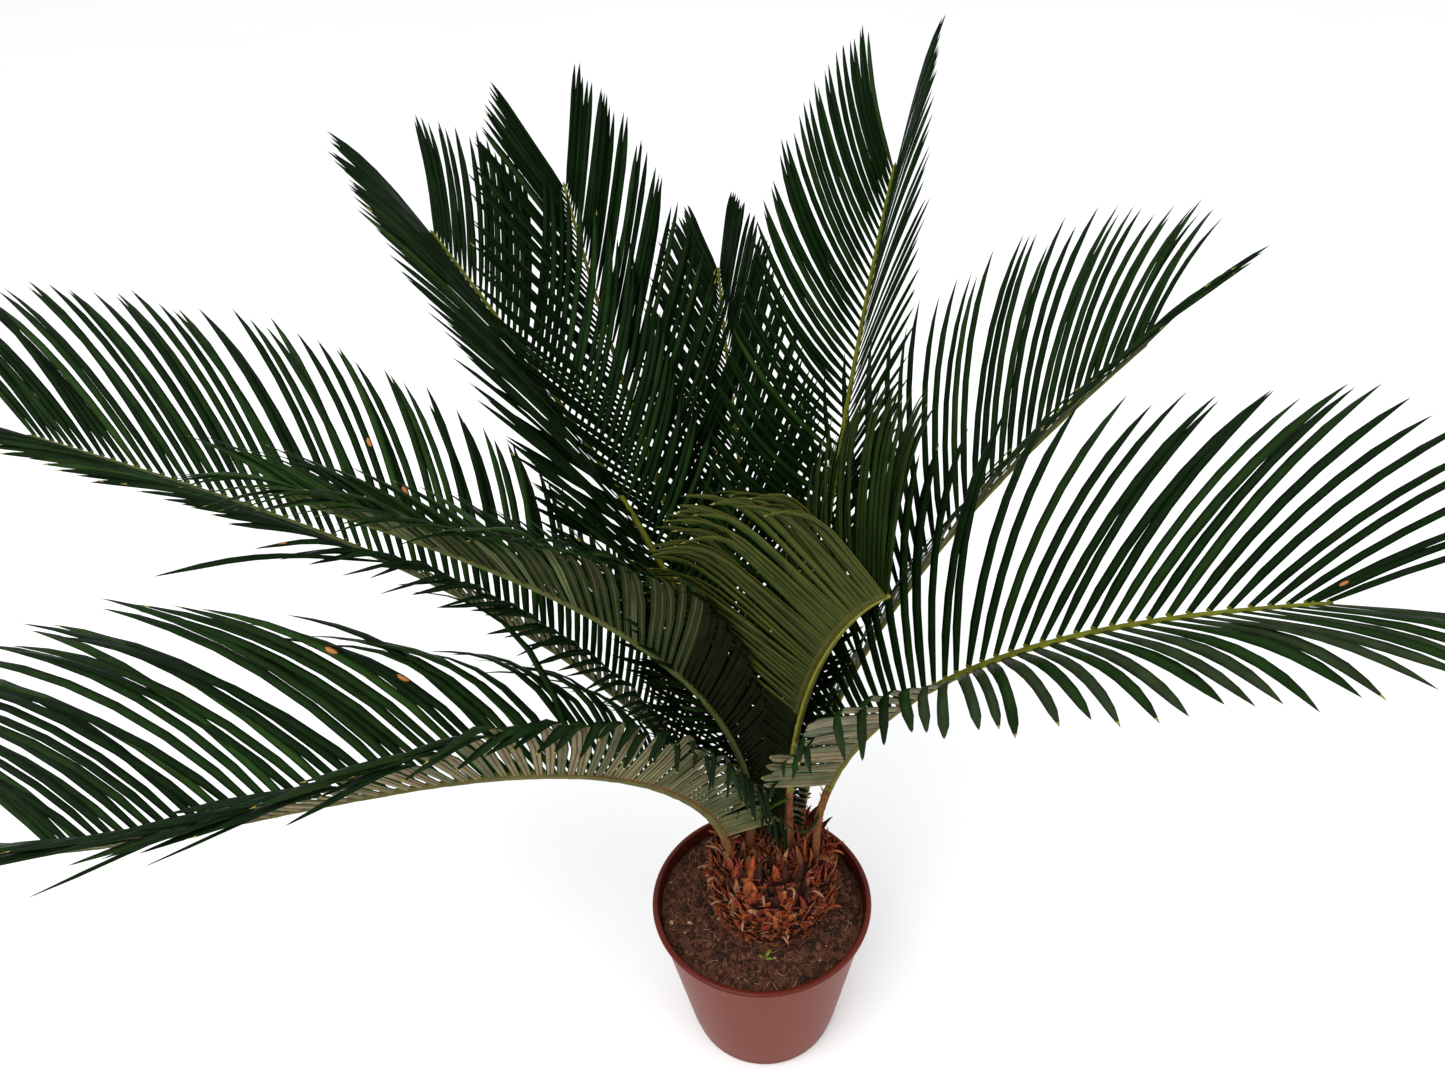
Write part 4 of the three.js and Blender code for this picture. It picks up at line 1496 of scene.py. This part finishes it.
    def build_rib(self, random: Random) -> None:
        """Makes the rib, its felted foot and the short spines along its bare stretch.

        Args:
            random: where the small irregularities come from.
        """
        rib = Joined("rib_" + self.name, [self.dress.rib_top, self.dress.rib_under, FELT, RUST, TIP])
        parts = np.concatenate([np.linspace(0, 0.12, 14)[:-1], np.linspace(0.12, 1.004, 96)])
        _, across, up = self.frames(parts)
        points = self.rib_points(parts)
        shape = (len(parts), self.rib_sides)
        around = np.arange(self.rib_sides) * TURN / self.rib_sides
        square = 0.93 * (np.cos(around) ** 4 + np.sin(around) ** 4) ** -0.25
        rough = (1 + 0.05 * random.normal(0, 1, shape)) * square * MM
        wide = self.half_width(parts)[:, None] * rough * np.cos(around)
        high = self.half_height(parts)[:, None] * rough * np.sin(around)
        rings = ringed(points, across, up, wide, high)
        numbers = np.where(np.sin(around + math.pi / self.rib_sides) > 0.2, 0, 1)
        numbers = np.broadcast_to(numbers, shape).copy()
        numbers[parts[:, None] < self.dress.felted + 0.03 * random.random(shape)] = rib.number(FELT)
        rib.add_spikes(rings[None, :-1, ::-1], points[None, -1], numbers[None, :-1, ::-1])
        self.add_spines(rib, random)
        dressed(rib.build(), self.slot)

    def add_spines(self, rib: Joined, random: Random) -> None:
        """Adds the short spines that stand in for leaflets along the stalk.

        Args:
            rib: the piece that they join.
            random: where the small irregularities come from.
        """
        parts = np.arange(self.first_spine, self.first, self.spine_pitch / self.length)
        if not len(parts):
            return
        count = len(parts)
        along, across, up = self.frames(parts)
        grown = mixed(*self.spine_length, (parts - self.first_spine) / self.leafless)
        for side in Side:
            aside = across * side.value
            lean = unit(aside + 0.5 * up + 0.45 * along + random.normal(0, 0.1, (count, 3)))
            root = self.rib_points(parts) + aside * (self.half_width(parts) * 0.8 * MM)[:, None]
            reach = grown * random.uniform(0.7, 1.2, count) * MM
            steps = np.linspace(0, 1, len(self.spine_radii))[:, None]
            path = root[:, None] + (lean * reach[:, None])[:, None] * steps
            add_threads(rib, path, self.spine_radii, np.zeros(count, int), sides=4)


def outline_width(t: Array, neck: Array) -> Array:
    """A leaflet's outline.

    Args:
        t: parts of its length.
        neck: the width of its root as a share of its greatest width.

    Returns:
        Its width at those parts, as a share of its greatest width.
    """
    root = mixed(neck, 1, eased(t / 0.1))
    taper = mixed(0.26, 0.17, eased((neck - 0.62) / 0.28))
    point = 1 - np.maximum(0, (t - 1 + taper) / taper) ** 2.2
    return root * np.maximum(point, 0.04)


def picked(piece: Joined, finishes: Sequence[Finish], shares: Sequence[float], rank: Array) -> Array:
    """Deals finishes by rank.

    Args:
        piece: the piece whose slots they are.
        finishes: the finishes, from the darkest to the lightest.
        shares: how often each is dealt when the ranks are spread evenly from 0 to 1.
        rank: the rank of each leaflet.

    Returns:
        The slot number of each leaflet.
    """
    slots = np.array([piece.number(finish) for finish in finishes])
    return slots[np.searchsorted(np.cumsum(shares)[:-1], rank)]


# The young frond's leaflets up to shaded_to have painted shade
YOUNG_DRESS = Dress(uppers=(MOSS, OLIVE, LIME), shares=(0.4, 0.35, 0.25), pales=(MOSS, OLIVE, LIME),
                    pale_shares=(0.4, 0.35, 0.25), roll=OCHRE, midrib=OCHRE, joint=OCHRE, rib_top=RIB_GOLD,
                    rib_under=RIB_YELLOW, shaded=SHADED, shaded_to=0.42, felted=0.2)
# Painted shade at the back of the crown: the back fronds deal mostly the deepest green with dim undersides,
# and the two hindmost deal the near-black painted shade green first
BACK_DRESS = Dress(shares=(0.8, 0.18, 0.02), pales=(UNDER_SHADE,), pale_shares=(1.0,), joint=RIB_OLIVE,
                   rib_top=RIB_DEEP, rib_under=RIB_OLIVE, tipped=0.1)
BACK_SHADE_DRESS = replace(BACK_DRESS, uppers=(BACK_SHADE, DEEP, GREEN), shares=(0.55, 0.38, 0.07), shaded=BACK_SHADE)
FRONT_DRESS = Dress(rib_top=RIB_YELLOW, rib_under=RIB_TAN, felted=0.05)
# The front right frond deals a painted sheen as its lightest upper tone
PALE_RIB_DRESS = Dress(uppers=(DEEP, GREEN, PAINTED_SHEEN), shares=(0.5, 0.42, 0.08), rib_top=RIB_DEEP,
                       rib_under=RIB_SAGE, felted=0.17, tipped=0.15)
# The mid left frond's undersides are mostly in painted shade, and its leaflets up to shaded_to take the
# shaded finish
MID_DRESS = Dress(shares=(0.4, 0.4, 0.2), pales=(UNDER_OLIVE_SHADE, UNDER_SAGE), pale_shares=(0.94, 0.06),
                  midrib=PALE_MIDRIB, shaded=SHADED, shaded_to=0.34, rib_top=RIB_OLIVE, rib_under=RIB_OLIVE,
                  felted=0.1)
LONG_DRESS = Dress(rib_top=RIB_OLIVE, rib_under=RIB_OLIVE)
# The upper right frond's undersides are mostly in painted shade
RIGHT_DRESS = Dress(pales=(UNDER_SHADE, UNDER_SAGE), pale_shares=(0.75, 0.25), rib_top=RIB_DEEP)

# The young frond's low leaflets and its whole left row have light below zero: painted shade
YOUNG_RIGHT = Row((
    Arch(0.0, lifted=-4, reach=0.4, neck=0.95, light=-0.6),
    Arch(0.03, lifted=-4, neck=0.95, light=-0.6),
    Arch(0.25, (0.0, 0.5, 0.25), middle=0.85, width=0.6, neck=0.95, light=-0.6),
    Arch(0.4, (0.0, 1.0, 0.5), middle=0.85, width=0.6, lifted=5, neck=0.95, light=-0.4),
    Arch(0.7, (-0.1, 1.0, 0.36), middle=0.8, width=0.6, lifted=5, reach=1.05, broad=1.15, neck=0.95),
    Arch(1.0, (-0.2, 1.0, 0.34), middle=0.74, width=0.6, lifted=9, reach=1.1, broad=1.6, neck=0.9,
         light=0.1)))
YOUNG_LEFT = Row((Arch(0.0, lifted=20, reach=0.4, light=-0.8), Arch(0.03, lifted=20, reach=0.8, light=-0.8),
                  Arch(0.5, lifted=8, broad=1.5, light=-0.6),
                  Arch(1.0, lifted=4, reach=1.25, broad=1.8, light=-0.5)))
# The near row of the front right frond has light below zero near the stalk, painted shade, and above zero
# further out, painted sheen
FRONT_RIGHT_NEAR = Row((
    Arch(0.08, (0.05, 0.0, -1.0), middle=0.82, width=0.2, leant=6, reach=0.86, broad=1.6, often=0.2,
         neck=0.95, light=-0.1, pinch=0.4),
    Arch(0.19, (0.05, 0.0, -1.0), middle=0.82, width=0.2, leant=6, reach=0.76, broad=1.5, often=0.25,
         neck=0.95, light=-0.1, pinch=0.4),
    Arch(0.26, (0.05, 0.0, -1.0), middle=0.8, width=0.2, lifted=4, leant=10, reach=0.84, broad=1.4,
         often=0.3, neck=0.95, pinch=0.4),
    Arch(0.32, (0.05, 0.0, -1.0), middle=0.8, width=0.2, lifted=8, leant=14, reach=1.05, broad=1.3,
         often=0.35, neck=0.95, pinch=0.3),
    Arch(0.355, (0.1, 0.05, -1.0), middle=0.6, width=0.25, lifted=16, leant=18, reach=0.6, broad=1.3,
         neck=0.9, pinch=0.15),
    Arch(0.4, (0.15, 0.1, -1.0), middle=0.52, width=0.25, lifted=16, leant=20, reach=0.42, broad=1.35,
         neck=0.8, light=0.4),
    Arch(0.45, (0.3, 0.35, -0.85), middle=0.6, width=0.8, lifted=6, leant=10, reach=0.38, broad=1.3,
         neck=0.8, light=0.7),
    Arch(0.6, (0.6, 0.3, -0.7), middle=0.7, width=0.9, lifted=4, leant=6, reach=0.54, broad=1.15, neck=0.75,
         light=0.7),
    Arch(0.8, (0.85, 0.1, -0.5), middle=0.7, width=0.9, lifted=4, leant=2, reach=0.66, broad=1.05, light=0.6),
    Arch(1.0, (0.95, 0.05, -0.3), middle=0.7, width=0.9, lifted=4, reach=1.12, light=0.5)))
FRONT_RIGHT_FAR = Row((
    Arch(0.0, reach=0.6, light=-1), Arch(0.12, light=-0.35), Arch(0.6, light=-0.35),
    Arch(0.82, leant=10, light=-0.35), Arch(0.92, leant=6, broad=0.85, light=-0.35),
    Arch(1.0, leant=-10, broad=0.75, light=-0.35)))
FRONT_LEFT_NEAR = Row((
    Arch(0.0, (-0.1, 0.1, -1.0), middle=0.5, width=0.22, leant=14, reach=1.15, broad=1.4, neck=0.95,
         light=-0.6, pinch=0.4),
    Arch(0.07, (-0.05, 0.05, -1.0), middle=0.55, width=0.22, leant=20, reach=0.82, broad=1.35, neck=0.95,
         light=-0.4, pinch=0.4),
    Arch(0.14, (0.1, 0.0, -1.0), middle=0.68, width=0.22, lifted=3, leant=28, reach=0.56, broad=1.3,
         neck=0.95, light=-0.2, pinch=0.35),
    Arch(0.2, (0.5, 0.0, -0.85), middle=0.72, width=0.22, lifted=4, leant=28, reach=0.52, broad=1.3, neck=0.9,
         pinch=0.25),
    Arch(0.27, (0.8, 0.0, -0.5), middle=0.72, width=0.22, lifted=5, leant=26, reach=0.52, broad=1.25,
         pinch=0.1),
    Arch(0.4, (0.96, 0.0, -0.15), middle=0.45, width=0.3, lifted=8, leant=16, reach=0.48, broad=1.35),
    Arch(0.6, (0.99, 0.0, 0.0), middle=0.25, width=0.3, lifted=8, leant=4, reach=0.44, broad=1.4),
    Arch(1.0, (0.99, 0.04, 0.0), middle=0.2, width=0.4, lifted=2, reach=0.54, broad=1.25)))
FRONT_LEFT_FAR = Row((
    Arch(0.0, (0.9, 0.35, 0.0), middle=0.7, width=0.9, reach=0.6, light=-1),
    Arch(0.12, (0.9, 0.35, 0.0), middle=0.7, width=0.9, lifted=6, reach=0.62, light=-0.3),
    Arch(0.3, (0.9, 0.35, -0.1), middle=0.75, width=0.9, lifted=4, reach=0.74),
    Arch(0.45, leant=6, reach=0.98), Arch(0.65, leant=14, reach=1.14), Arch(1.0, leant=14, reach=1.14)))
MID_LEFT_NEAR = Row((
    Arch(0.0, (0.3, 0.0, -0.5), middle=0.8, width=0.6, lifted=12, leant=-6, reach=0.46, broad=1.2),
    Arch(0.2, (0.6, 0.0, -0.2), middle=0.85, width=0.5, lifted=12, leant=-2, reach=0.44, broad=1.15),
    Arch(0.34, (0.9, -0.05, 0.0), middle=0.86, width=0.5, lifted=12, leant=2, reach=0.64, broad=1.15),
    Arch(0.5, (0.95, 0.0, 0.0), middle=0.8, width=0.55, lifted=10, reach=0.62, broad=1.1, light=0.1),
    Arch(0.7, (0.97, 0.1, 0.0), middle=0.6, width=0.8, lifted=4, leant=-4, reach=0.6, light=0.2),
    Arch(1.0, (0.97, 0.1, 0.0), middle=0.5, width=0.8, reach=0.66, light=0.3)))
MID_LEFT_FAR = Row((Arch(0.0, reach=0.8), Arch(0.5, leant=-12, reach=0.6), Arch(1.0, leant=-6, reach=0.65)))
LONG_LEFT_FAR = Row((Arch(0.0, reach=0.74), Arch(0.35, reach=0.8), Arch(0.5, reach=0.95, light=0.3),
                     Arch(0.58, reach=1.0), Arch(0.8, reach=1.02), Arch(1.0, reach=1.02)))
LONG_LEFT_NEAR = Row((
    Arch(0.0, (0.9, 0.3, -0.2), middle=0.55, width=0.4, lifted=34, leant=-4, reach=0.4, light=-0.5,
         loose=1.3),
    Arch(0.2, (0.9, 0.3, -0.1), middle=0.5, width=0.4, lifted=32, leant=-6, reach=0.44, light=-0.5,
         loose=1.3),
    Arch(0.4, (0.95, 0.2, -0.05), middle=0.48, width=0.4, lifted=26, leant=-8, reach=0.42, light=-0.4,
         loose=1.3),
    Arch(0.5, (0.95, 0.1, 0.0), middle=0.5, width=0.6, leant=-16, reach=0.46, light=-0.2),
    Arch(0.6, lifted=-6, leant=-18, reach=0.52), Arch(0.75, lifted=-6, leant=-17, reach=0.6),
    Arch(1.0, lifted=-2, leant=-10, reach=0.72)))
TALL_RIGHT_RIGHT = Row((Arch(0.0, lifted=-17, leant=-8, reach=0.66, neck=0.45),
                        Arch(0.6, lifted=-15, leant=-2, reach=0.7, neck=0.5),
                        Arch(1.0, lifted=-2, leant=-11, reach=0.75)))
TALL_RIGHT_LEFT = Row((Arch(0.0, reach=0.72, neck=0.42), Arch(0.6, leant=4, reach=0.72, neck=0.42),
                       Arch(1.0, reach=0.75, neck=0.5)))
UPPER_LEFT_LEFT = Row((Arch(0.2, leant=-6, neck=0.45), Arch(0.5, leant=-9, neck=0.45, loose=2),
                       Arch(1.0, leant=-8, reach=0.85)))
UPPER_LEFT_RIGHT = Row((Arch(0.0, reach=0.6, neck=0.42), Arch(0.42, leant=4, reach=0.62, neck=0.42),
                        Arch(0.58, leant=12, reach=0.9, neck=0.42), Arch(1.0, leant=12, reach=0.8)))
UPPER_RIGHT_NEAR = Row((Arch(0.0, lifted=-6, leant=-26, reach=0.55), Arch(0.6, leant=-20, reach=0.55),
                        Arch(1.0, leant=-10, reach=0.7)))
UPPER_RIGHT_FAR = Row((Arch(0.6, neck=0.5), Arch(1.0, reach=0.8, neck=0.5)))
BACK_SIDE = Row((Arch(0.0, neck=0.42), Arch(0.5, leant=-3, neck=0.42), Arch(1.0, reach=0.84, neck=0.45)))
BACK_LEFT_SIDE = Row((Arch(0.0, neck=0.42), Arch(0.5, leant=3, neck=0.42),
                      Arch(1.0, leant=6, reach=0.84, neck=0.45)))

FRONDS = (
    Frond("young", 302, 5, 94, 53, 0.6, 244, (325, 12), (58, 58), 0, 110, spread=(60, 72), closing=0.8,
          hook=0.06, curl=0.16, width=3.0, pitch=(2.5, 2.8), lowest=0.9, first=0.06, right=YOUNG_RIGHT,
          left=YOUNG_LEFT, dress=YOUNG_DRESS),
    Frond("front_right", 340, 0, 94, 76, 1.5, 335, (341, 26), (72, 32), -18, 124, spread=(78, 28),
          closing=1.1, width=4.4, pitch=(3.8, 7.8), first=0.2, unruly=0.7, right=FRONT_RIGHT_NEAR,
          left=FRONT_RIGHT_FAR, marks=((Side.LEFT, 0.96, 0.2, 0.55),), dress=PALE_RIB_DRESS),
    Frond("front_left", 200, -27, 89, 100, 2.5, 393, (201, 26), (56, 44), -18, 182, spread=(78, 22),
          closing=0.7, hook=0.22, sag=0.06, width=4.5, pitch=(3.6, 7.2), first=0.06, unruly=0.7,
          right=FRONT_LEFT_FAR, left=FRONT_LEFT_NEAR, dress=FRONT_DRESS,
          marks=((Side.RIGHT, 0.34, 0.5, 1), (Side.RIGHT, 0.38, 0.55, 1), (Side.LEFT, 0.5, 0.4, 0.8)),
          strays=((Side.RIGHT, 0.24, 6, 6, 1.35),)),
    Frond("mid_left", 196, -18, 101, 74, 1.6, 352, (196, 15), (52, 48), -22, 110, spread=(78, 26),
          closing=0.7, width=3.4, pitch=(3.4, 5.2), unruly=0.8, right=MID_LEFT_FAR, left=MID_LEFT_NEAR,
          marks=((Side.LEFT, 0.9, 0.4, 0.7),), dress=MID_DRESS),
    Frond("long_left", 168, 2, 76, 59, 2.2, 450, (165, 22), (42, 42), -3, 150, spread=(66, 33), hook=0.08,
          width=3.8, pitch=(4.2, 6.4), unruly=0.6, right=LONG_LEFT_FAR, left=LONG_LEFT_NEAR,
          marks=((Side.RIGHT, 0.5, 0.42, 0.8), (Side.RIGHT, 0.46, 0.36, 1.2), (Side.LEFT, 0.5, 0.8, 0.6)),
          strays=((Side.LEFT, 0.52, 9, -26, 1.5),), dress=LONG_DRESS),
    Frond("tall_right", 60, -2, 77, 19, 0.4, 374, (30, 8), (52, 52), 18, 112, spread=(85, 34), hook=0.25,
          width=3.0, pitch=(3.8, 4.8), first=0.05, unruly=0.45, stout=0.9, seated=(0.95, -0.3),
          right=TALL_RIGHT_RIGHT, left=TALL_RIGHT_LEFT, dress=BACK_DRESS),
    Frond("upper_left", 135, 2, 97, 59, 2.3, 396, (138, 21), (44, 42), 0, 118, width=3.3, pitch=(4.0, 5.0),
          first=0.07, unruly=0.8, seated=(0.95, -0.3), right=UPPER_LEFT_RIGHT, left=UPPER_LEFT_LEFT,
          dress=BACK_DRESS),
    Frond("upper_right", 22, -1, 90, 56, 1.6, 344, (18, 17), (50, 50), 14, 134, spread=(78, 26), width=3.2,
          pitch=(4.2, 6.0), first=0.05, unruly=0.7, stout=0.8, right=UPPER_RIGHT_NEAR, left=UPPER_RIGHT_FAR,
          dress=RIGHT_DRESS),
    Frond("back", 98, -6, 82, 50, 1.6, 346, (78, 17), (38, 38), 18, 88, width=3.1, pitch=(4.0, 4.9),
          first=0.06, unruly=0.6, stout=1.05, seated=(0.95, -0.3), right=BACK_SIDE, left=BACK_SIDE,
          dress=BACK_SHADE_DRESS),
    Frond("back_left", 123, -13, 89, 37, 4.8, 390, (118, 8), (40, 38), 12, 104, width=3.1, pitch=(4.0, 4.9),
          first=0.06, unruly=0.6, stout=1.05, seated=(0.95, -0.3), right=BACK_LEFT_SIDE, left=BACK_LEFT_SIDE,
          dress=BACK_SHADE_DRESS),
)


@dataclass(frozen=True)
class LowLeaflet:
    """A single narrow leaflet low in the crown, along points in millimetres from a rib to its tip."""

    points: tuple[Triple, ...]
    width: float
    finish: Finish

    steps: ClassVar[int] = 16

    def path(self) -> Array:
        """A smooth line through the points, in metres."""
        ticks = np.linspace(0, 1, len(self.points))
        curve = np.polyfit(ticks, np.array(self.points), len(self.points) - 1)
        return np.vander(np.linspace(0, 1, self.steps), len(self.points)) @ curve * MM

    def widths(self) -> Array:
        """Half its width at each point of the line, in metres."""
        return self.width * MM * np.sin(math.pi * np.clip(np.linspace(0.3, 1, self.steps), 0, 0.96))


LOW_LEAFLETS = (
    LowLeaflet(((17, -4.5, 199), (10, -9, 200.5), (3, -13, 199), (-5, -18, 194)), 1.3, LIME),
    # The second, curled leaflet takes the dark olive underside: painted shade
    LowLeaflet(((32.5, -6.5, 190), (29, -12, 185), (22, -15, 183), (15, -13, 186), (10, -9, 193)), 1.0,
               UNDER_OLIVE_SHADE))


def grow_low_leaflets() -> None:
    """Grows the stray leaflets between the stalks."""
    straps = Joined("leaflets_low", [leaflet.finish for leaflet in LOW_LEAFLETS])
    for number, leaflet in enumerate(LOW_LEAFLETS):
        add_threads(straps, leaflet.path()[None], leaflet.widths(), np.array([number]), flat=0.3)
    dressed(straps.build(), "frond_pale")


# Studio


FLOOR_PAPER = Finish("floor_paper", (0.93, 0.93, 0.925), 0.9, 0.05, mottle=0.01, mottle_scale=2,
                     grain=0.01 * MM)


@dataclass(frozen=True)
class Lamp:
    """A square soft light: its place and edge in metres, its power in watts."""

    name: str
    place: Triple
    size: float
    power: float

    def hang(self, lit: Triple) -> None:
        """Hangs the lamp.

        Args:
            lit: the point that it faces.
        """
        lamp = bpy.data.lights.new(self.name, "AREA")
        lamp.energy = self.power
        lamp.size = self.size
        light = bpy.data.objects.new(self.name, lamp)
        light.location = self.place
        light.rotation_mode = "QUATERNION"
        light.rotation_quaternion = (Vector(lit) - light.location).to_track_quat("-Z", "Y")
        bpy.context.scene.collection.objects.link(light)


@dataclass
class Studio:
    """The pale floor, the soft lights and the camera at the photograph's angle.

    eye is where the camera stands and lit the point that the lamps face, in metres. The camera looks
    down by pitch and is turned by roll, in degrees.
    """

    eye: Triple = (-0.01398, -0.40308, 0.65592)
    pitch: float = 35.5
    roll: float = -2.5
    focal_pixels: float = 1085.0
    image_width: float = 1445.0
    sensor: float = 36.0
    clip: Pair = (0.01, 50)
    floor_size: float = 12.0
    sky: Triple = (0.97, 0.98, 1.0)
    sky_strength: float = 1.05
    lit: Triple = (0, 0, 0.25)
    lamps: tuple[Lamp, ...] = (Lamp("key", (-0.9, -0.9, 2.0), 1.6, 34),
                               Lamp("fill", (1.4, -1.2, 1.2), 1.2, 8))

    def build(self) -> None:
        """Makes the floor, the lights and the camera."""
        self.lay_floor()
        self.light_up()
        self.set_camera()

    def lay_floor(self) -> None:
        """Lays the pale floor that the pot stands on."""
        shape = bmesh.new()
        bmesh.ops.create_grid(shape, x_segments=1, y_segments=1, size=self.floor_size / 2)
        mesh = bpy.data.meshes.new("floor")
        shape.to_mesh(mesh)
        shape.free()
        floor = linked("floor", mesh, [FLOOR_PAPER])

    def light_up(self) -> None:
        """Makes the pale surroundings and hangs a strong lamp above and a weaker one beside the camera."""
        world = bpy.data.worlds.new("studio")
        bpy.context.scene.world = world
        world.use_nodes = True
        background = world.node_tree.nodes["Background"]
        background.inputs["Color"].default_value = (*self.sky, 1)
        background.inputs["Strength"].default_value = self.sky_strength
        for lamp in self.lamps:
            lamp.hang(self.lit)

    def set_camera(self) -> None:
        """Sets the camera where the photograph's stood."""
        pitch, roll = math.radians(self.pitch), math.radians(self.roll)
        ahead = Vector((0, math.cos(pitch), -math.sin(pitch)))
        level, above = Vector((1, 0, 0)), Vector((0, math.sin(pitch), math.cos(pitch)))
        right = level * math.cos(roll) + above * math.sin(roll)
        up = above * math.cos(roll) - level * math.sin(roll)
        lens = bpy.data.cameras.new("camera")
        lens.sensor_width = self.sensor
        lens.lens = self.focal_pixels / self.image_width * self.sensor
        lens.clip_start, lens.clip_end = self.clip
        camera = bpy.data.objects.new("camera", lens)
        turn = Matrix((right, up, -ahead)).transposed().to_4x4()
        camera.matrix_world = Matrix.Translation(self.eye) @ turn
        bpy.context.scene.collection.objects.link(camera)
        bpy.context.scene.camera = camera
        bpy.context.scene.view_settings.view_transform = "Standard"


def main() -> None:
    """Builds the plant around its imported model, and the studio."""
    logging.basicConfig(level=logging.INFO, format="%(message)s")
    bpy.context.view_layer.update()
    pot = Pot()
    pot.build()
    Compost(pot).build()
    Trunk().build()
    for index, frond in enumerate(FRONDS):
        frond.build(index)
    grow_low_leaflets()
    Studio().build()


if __name__ == "__main__":
    main()
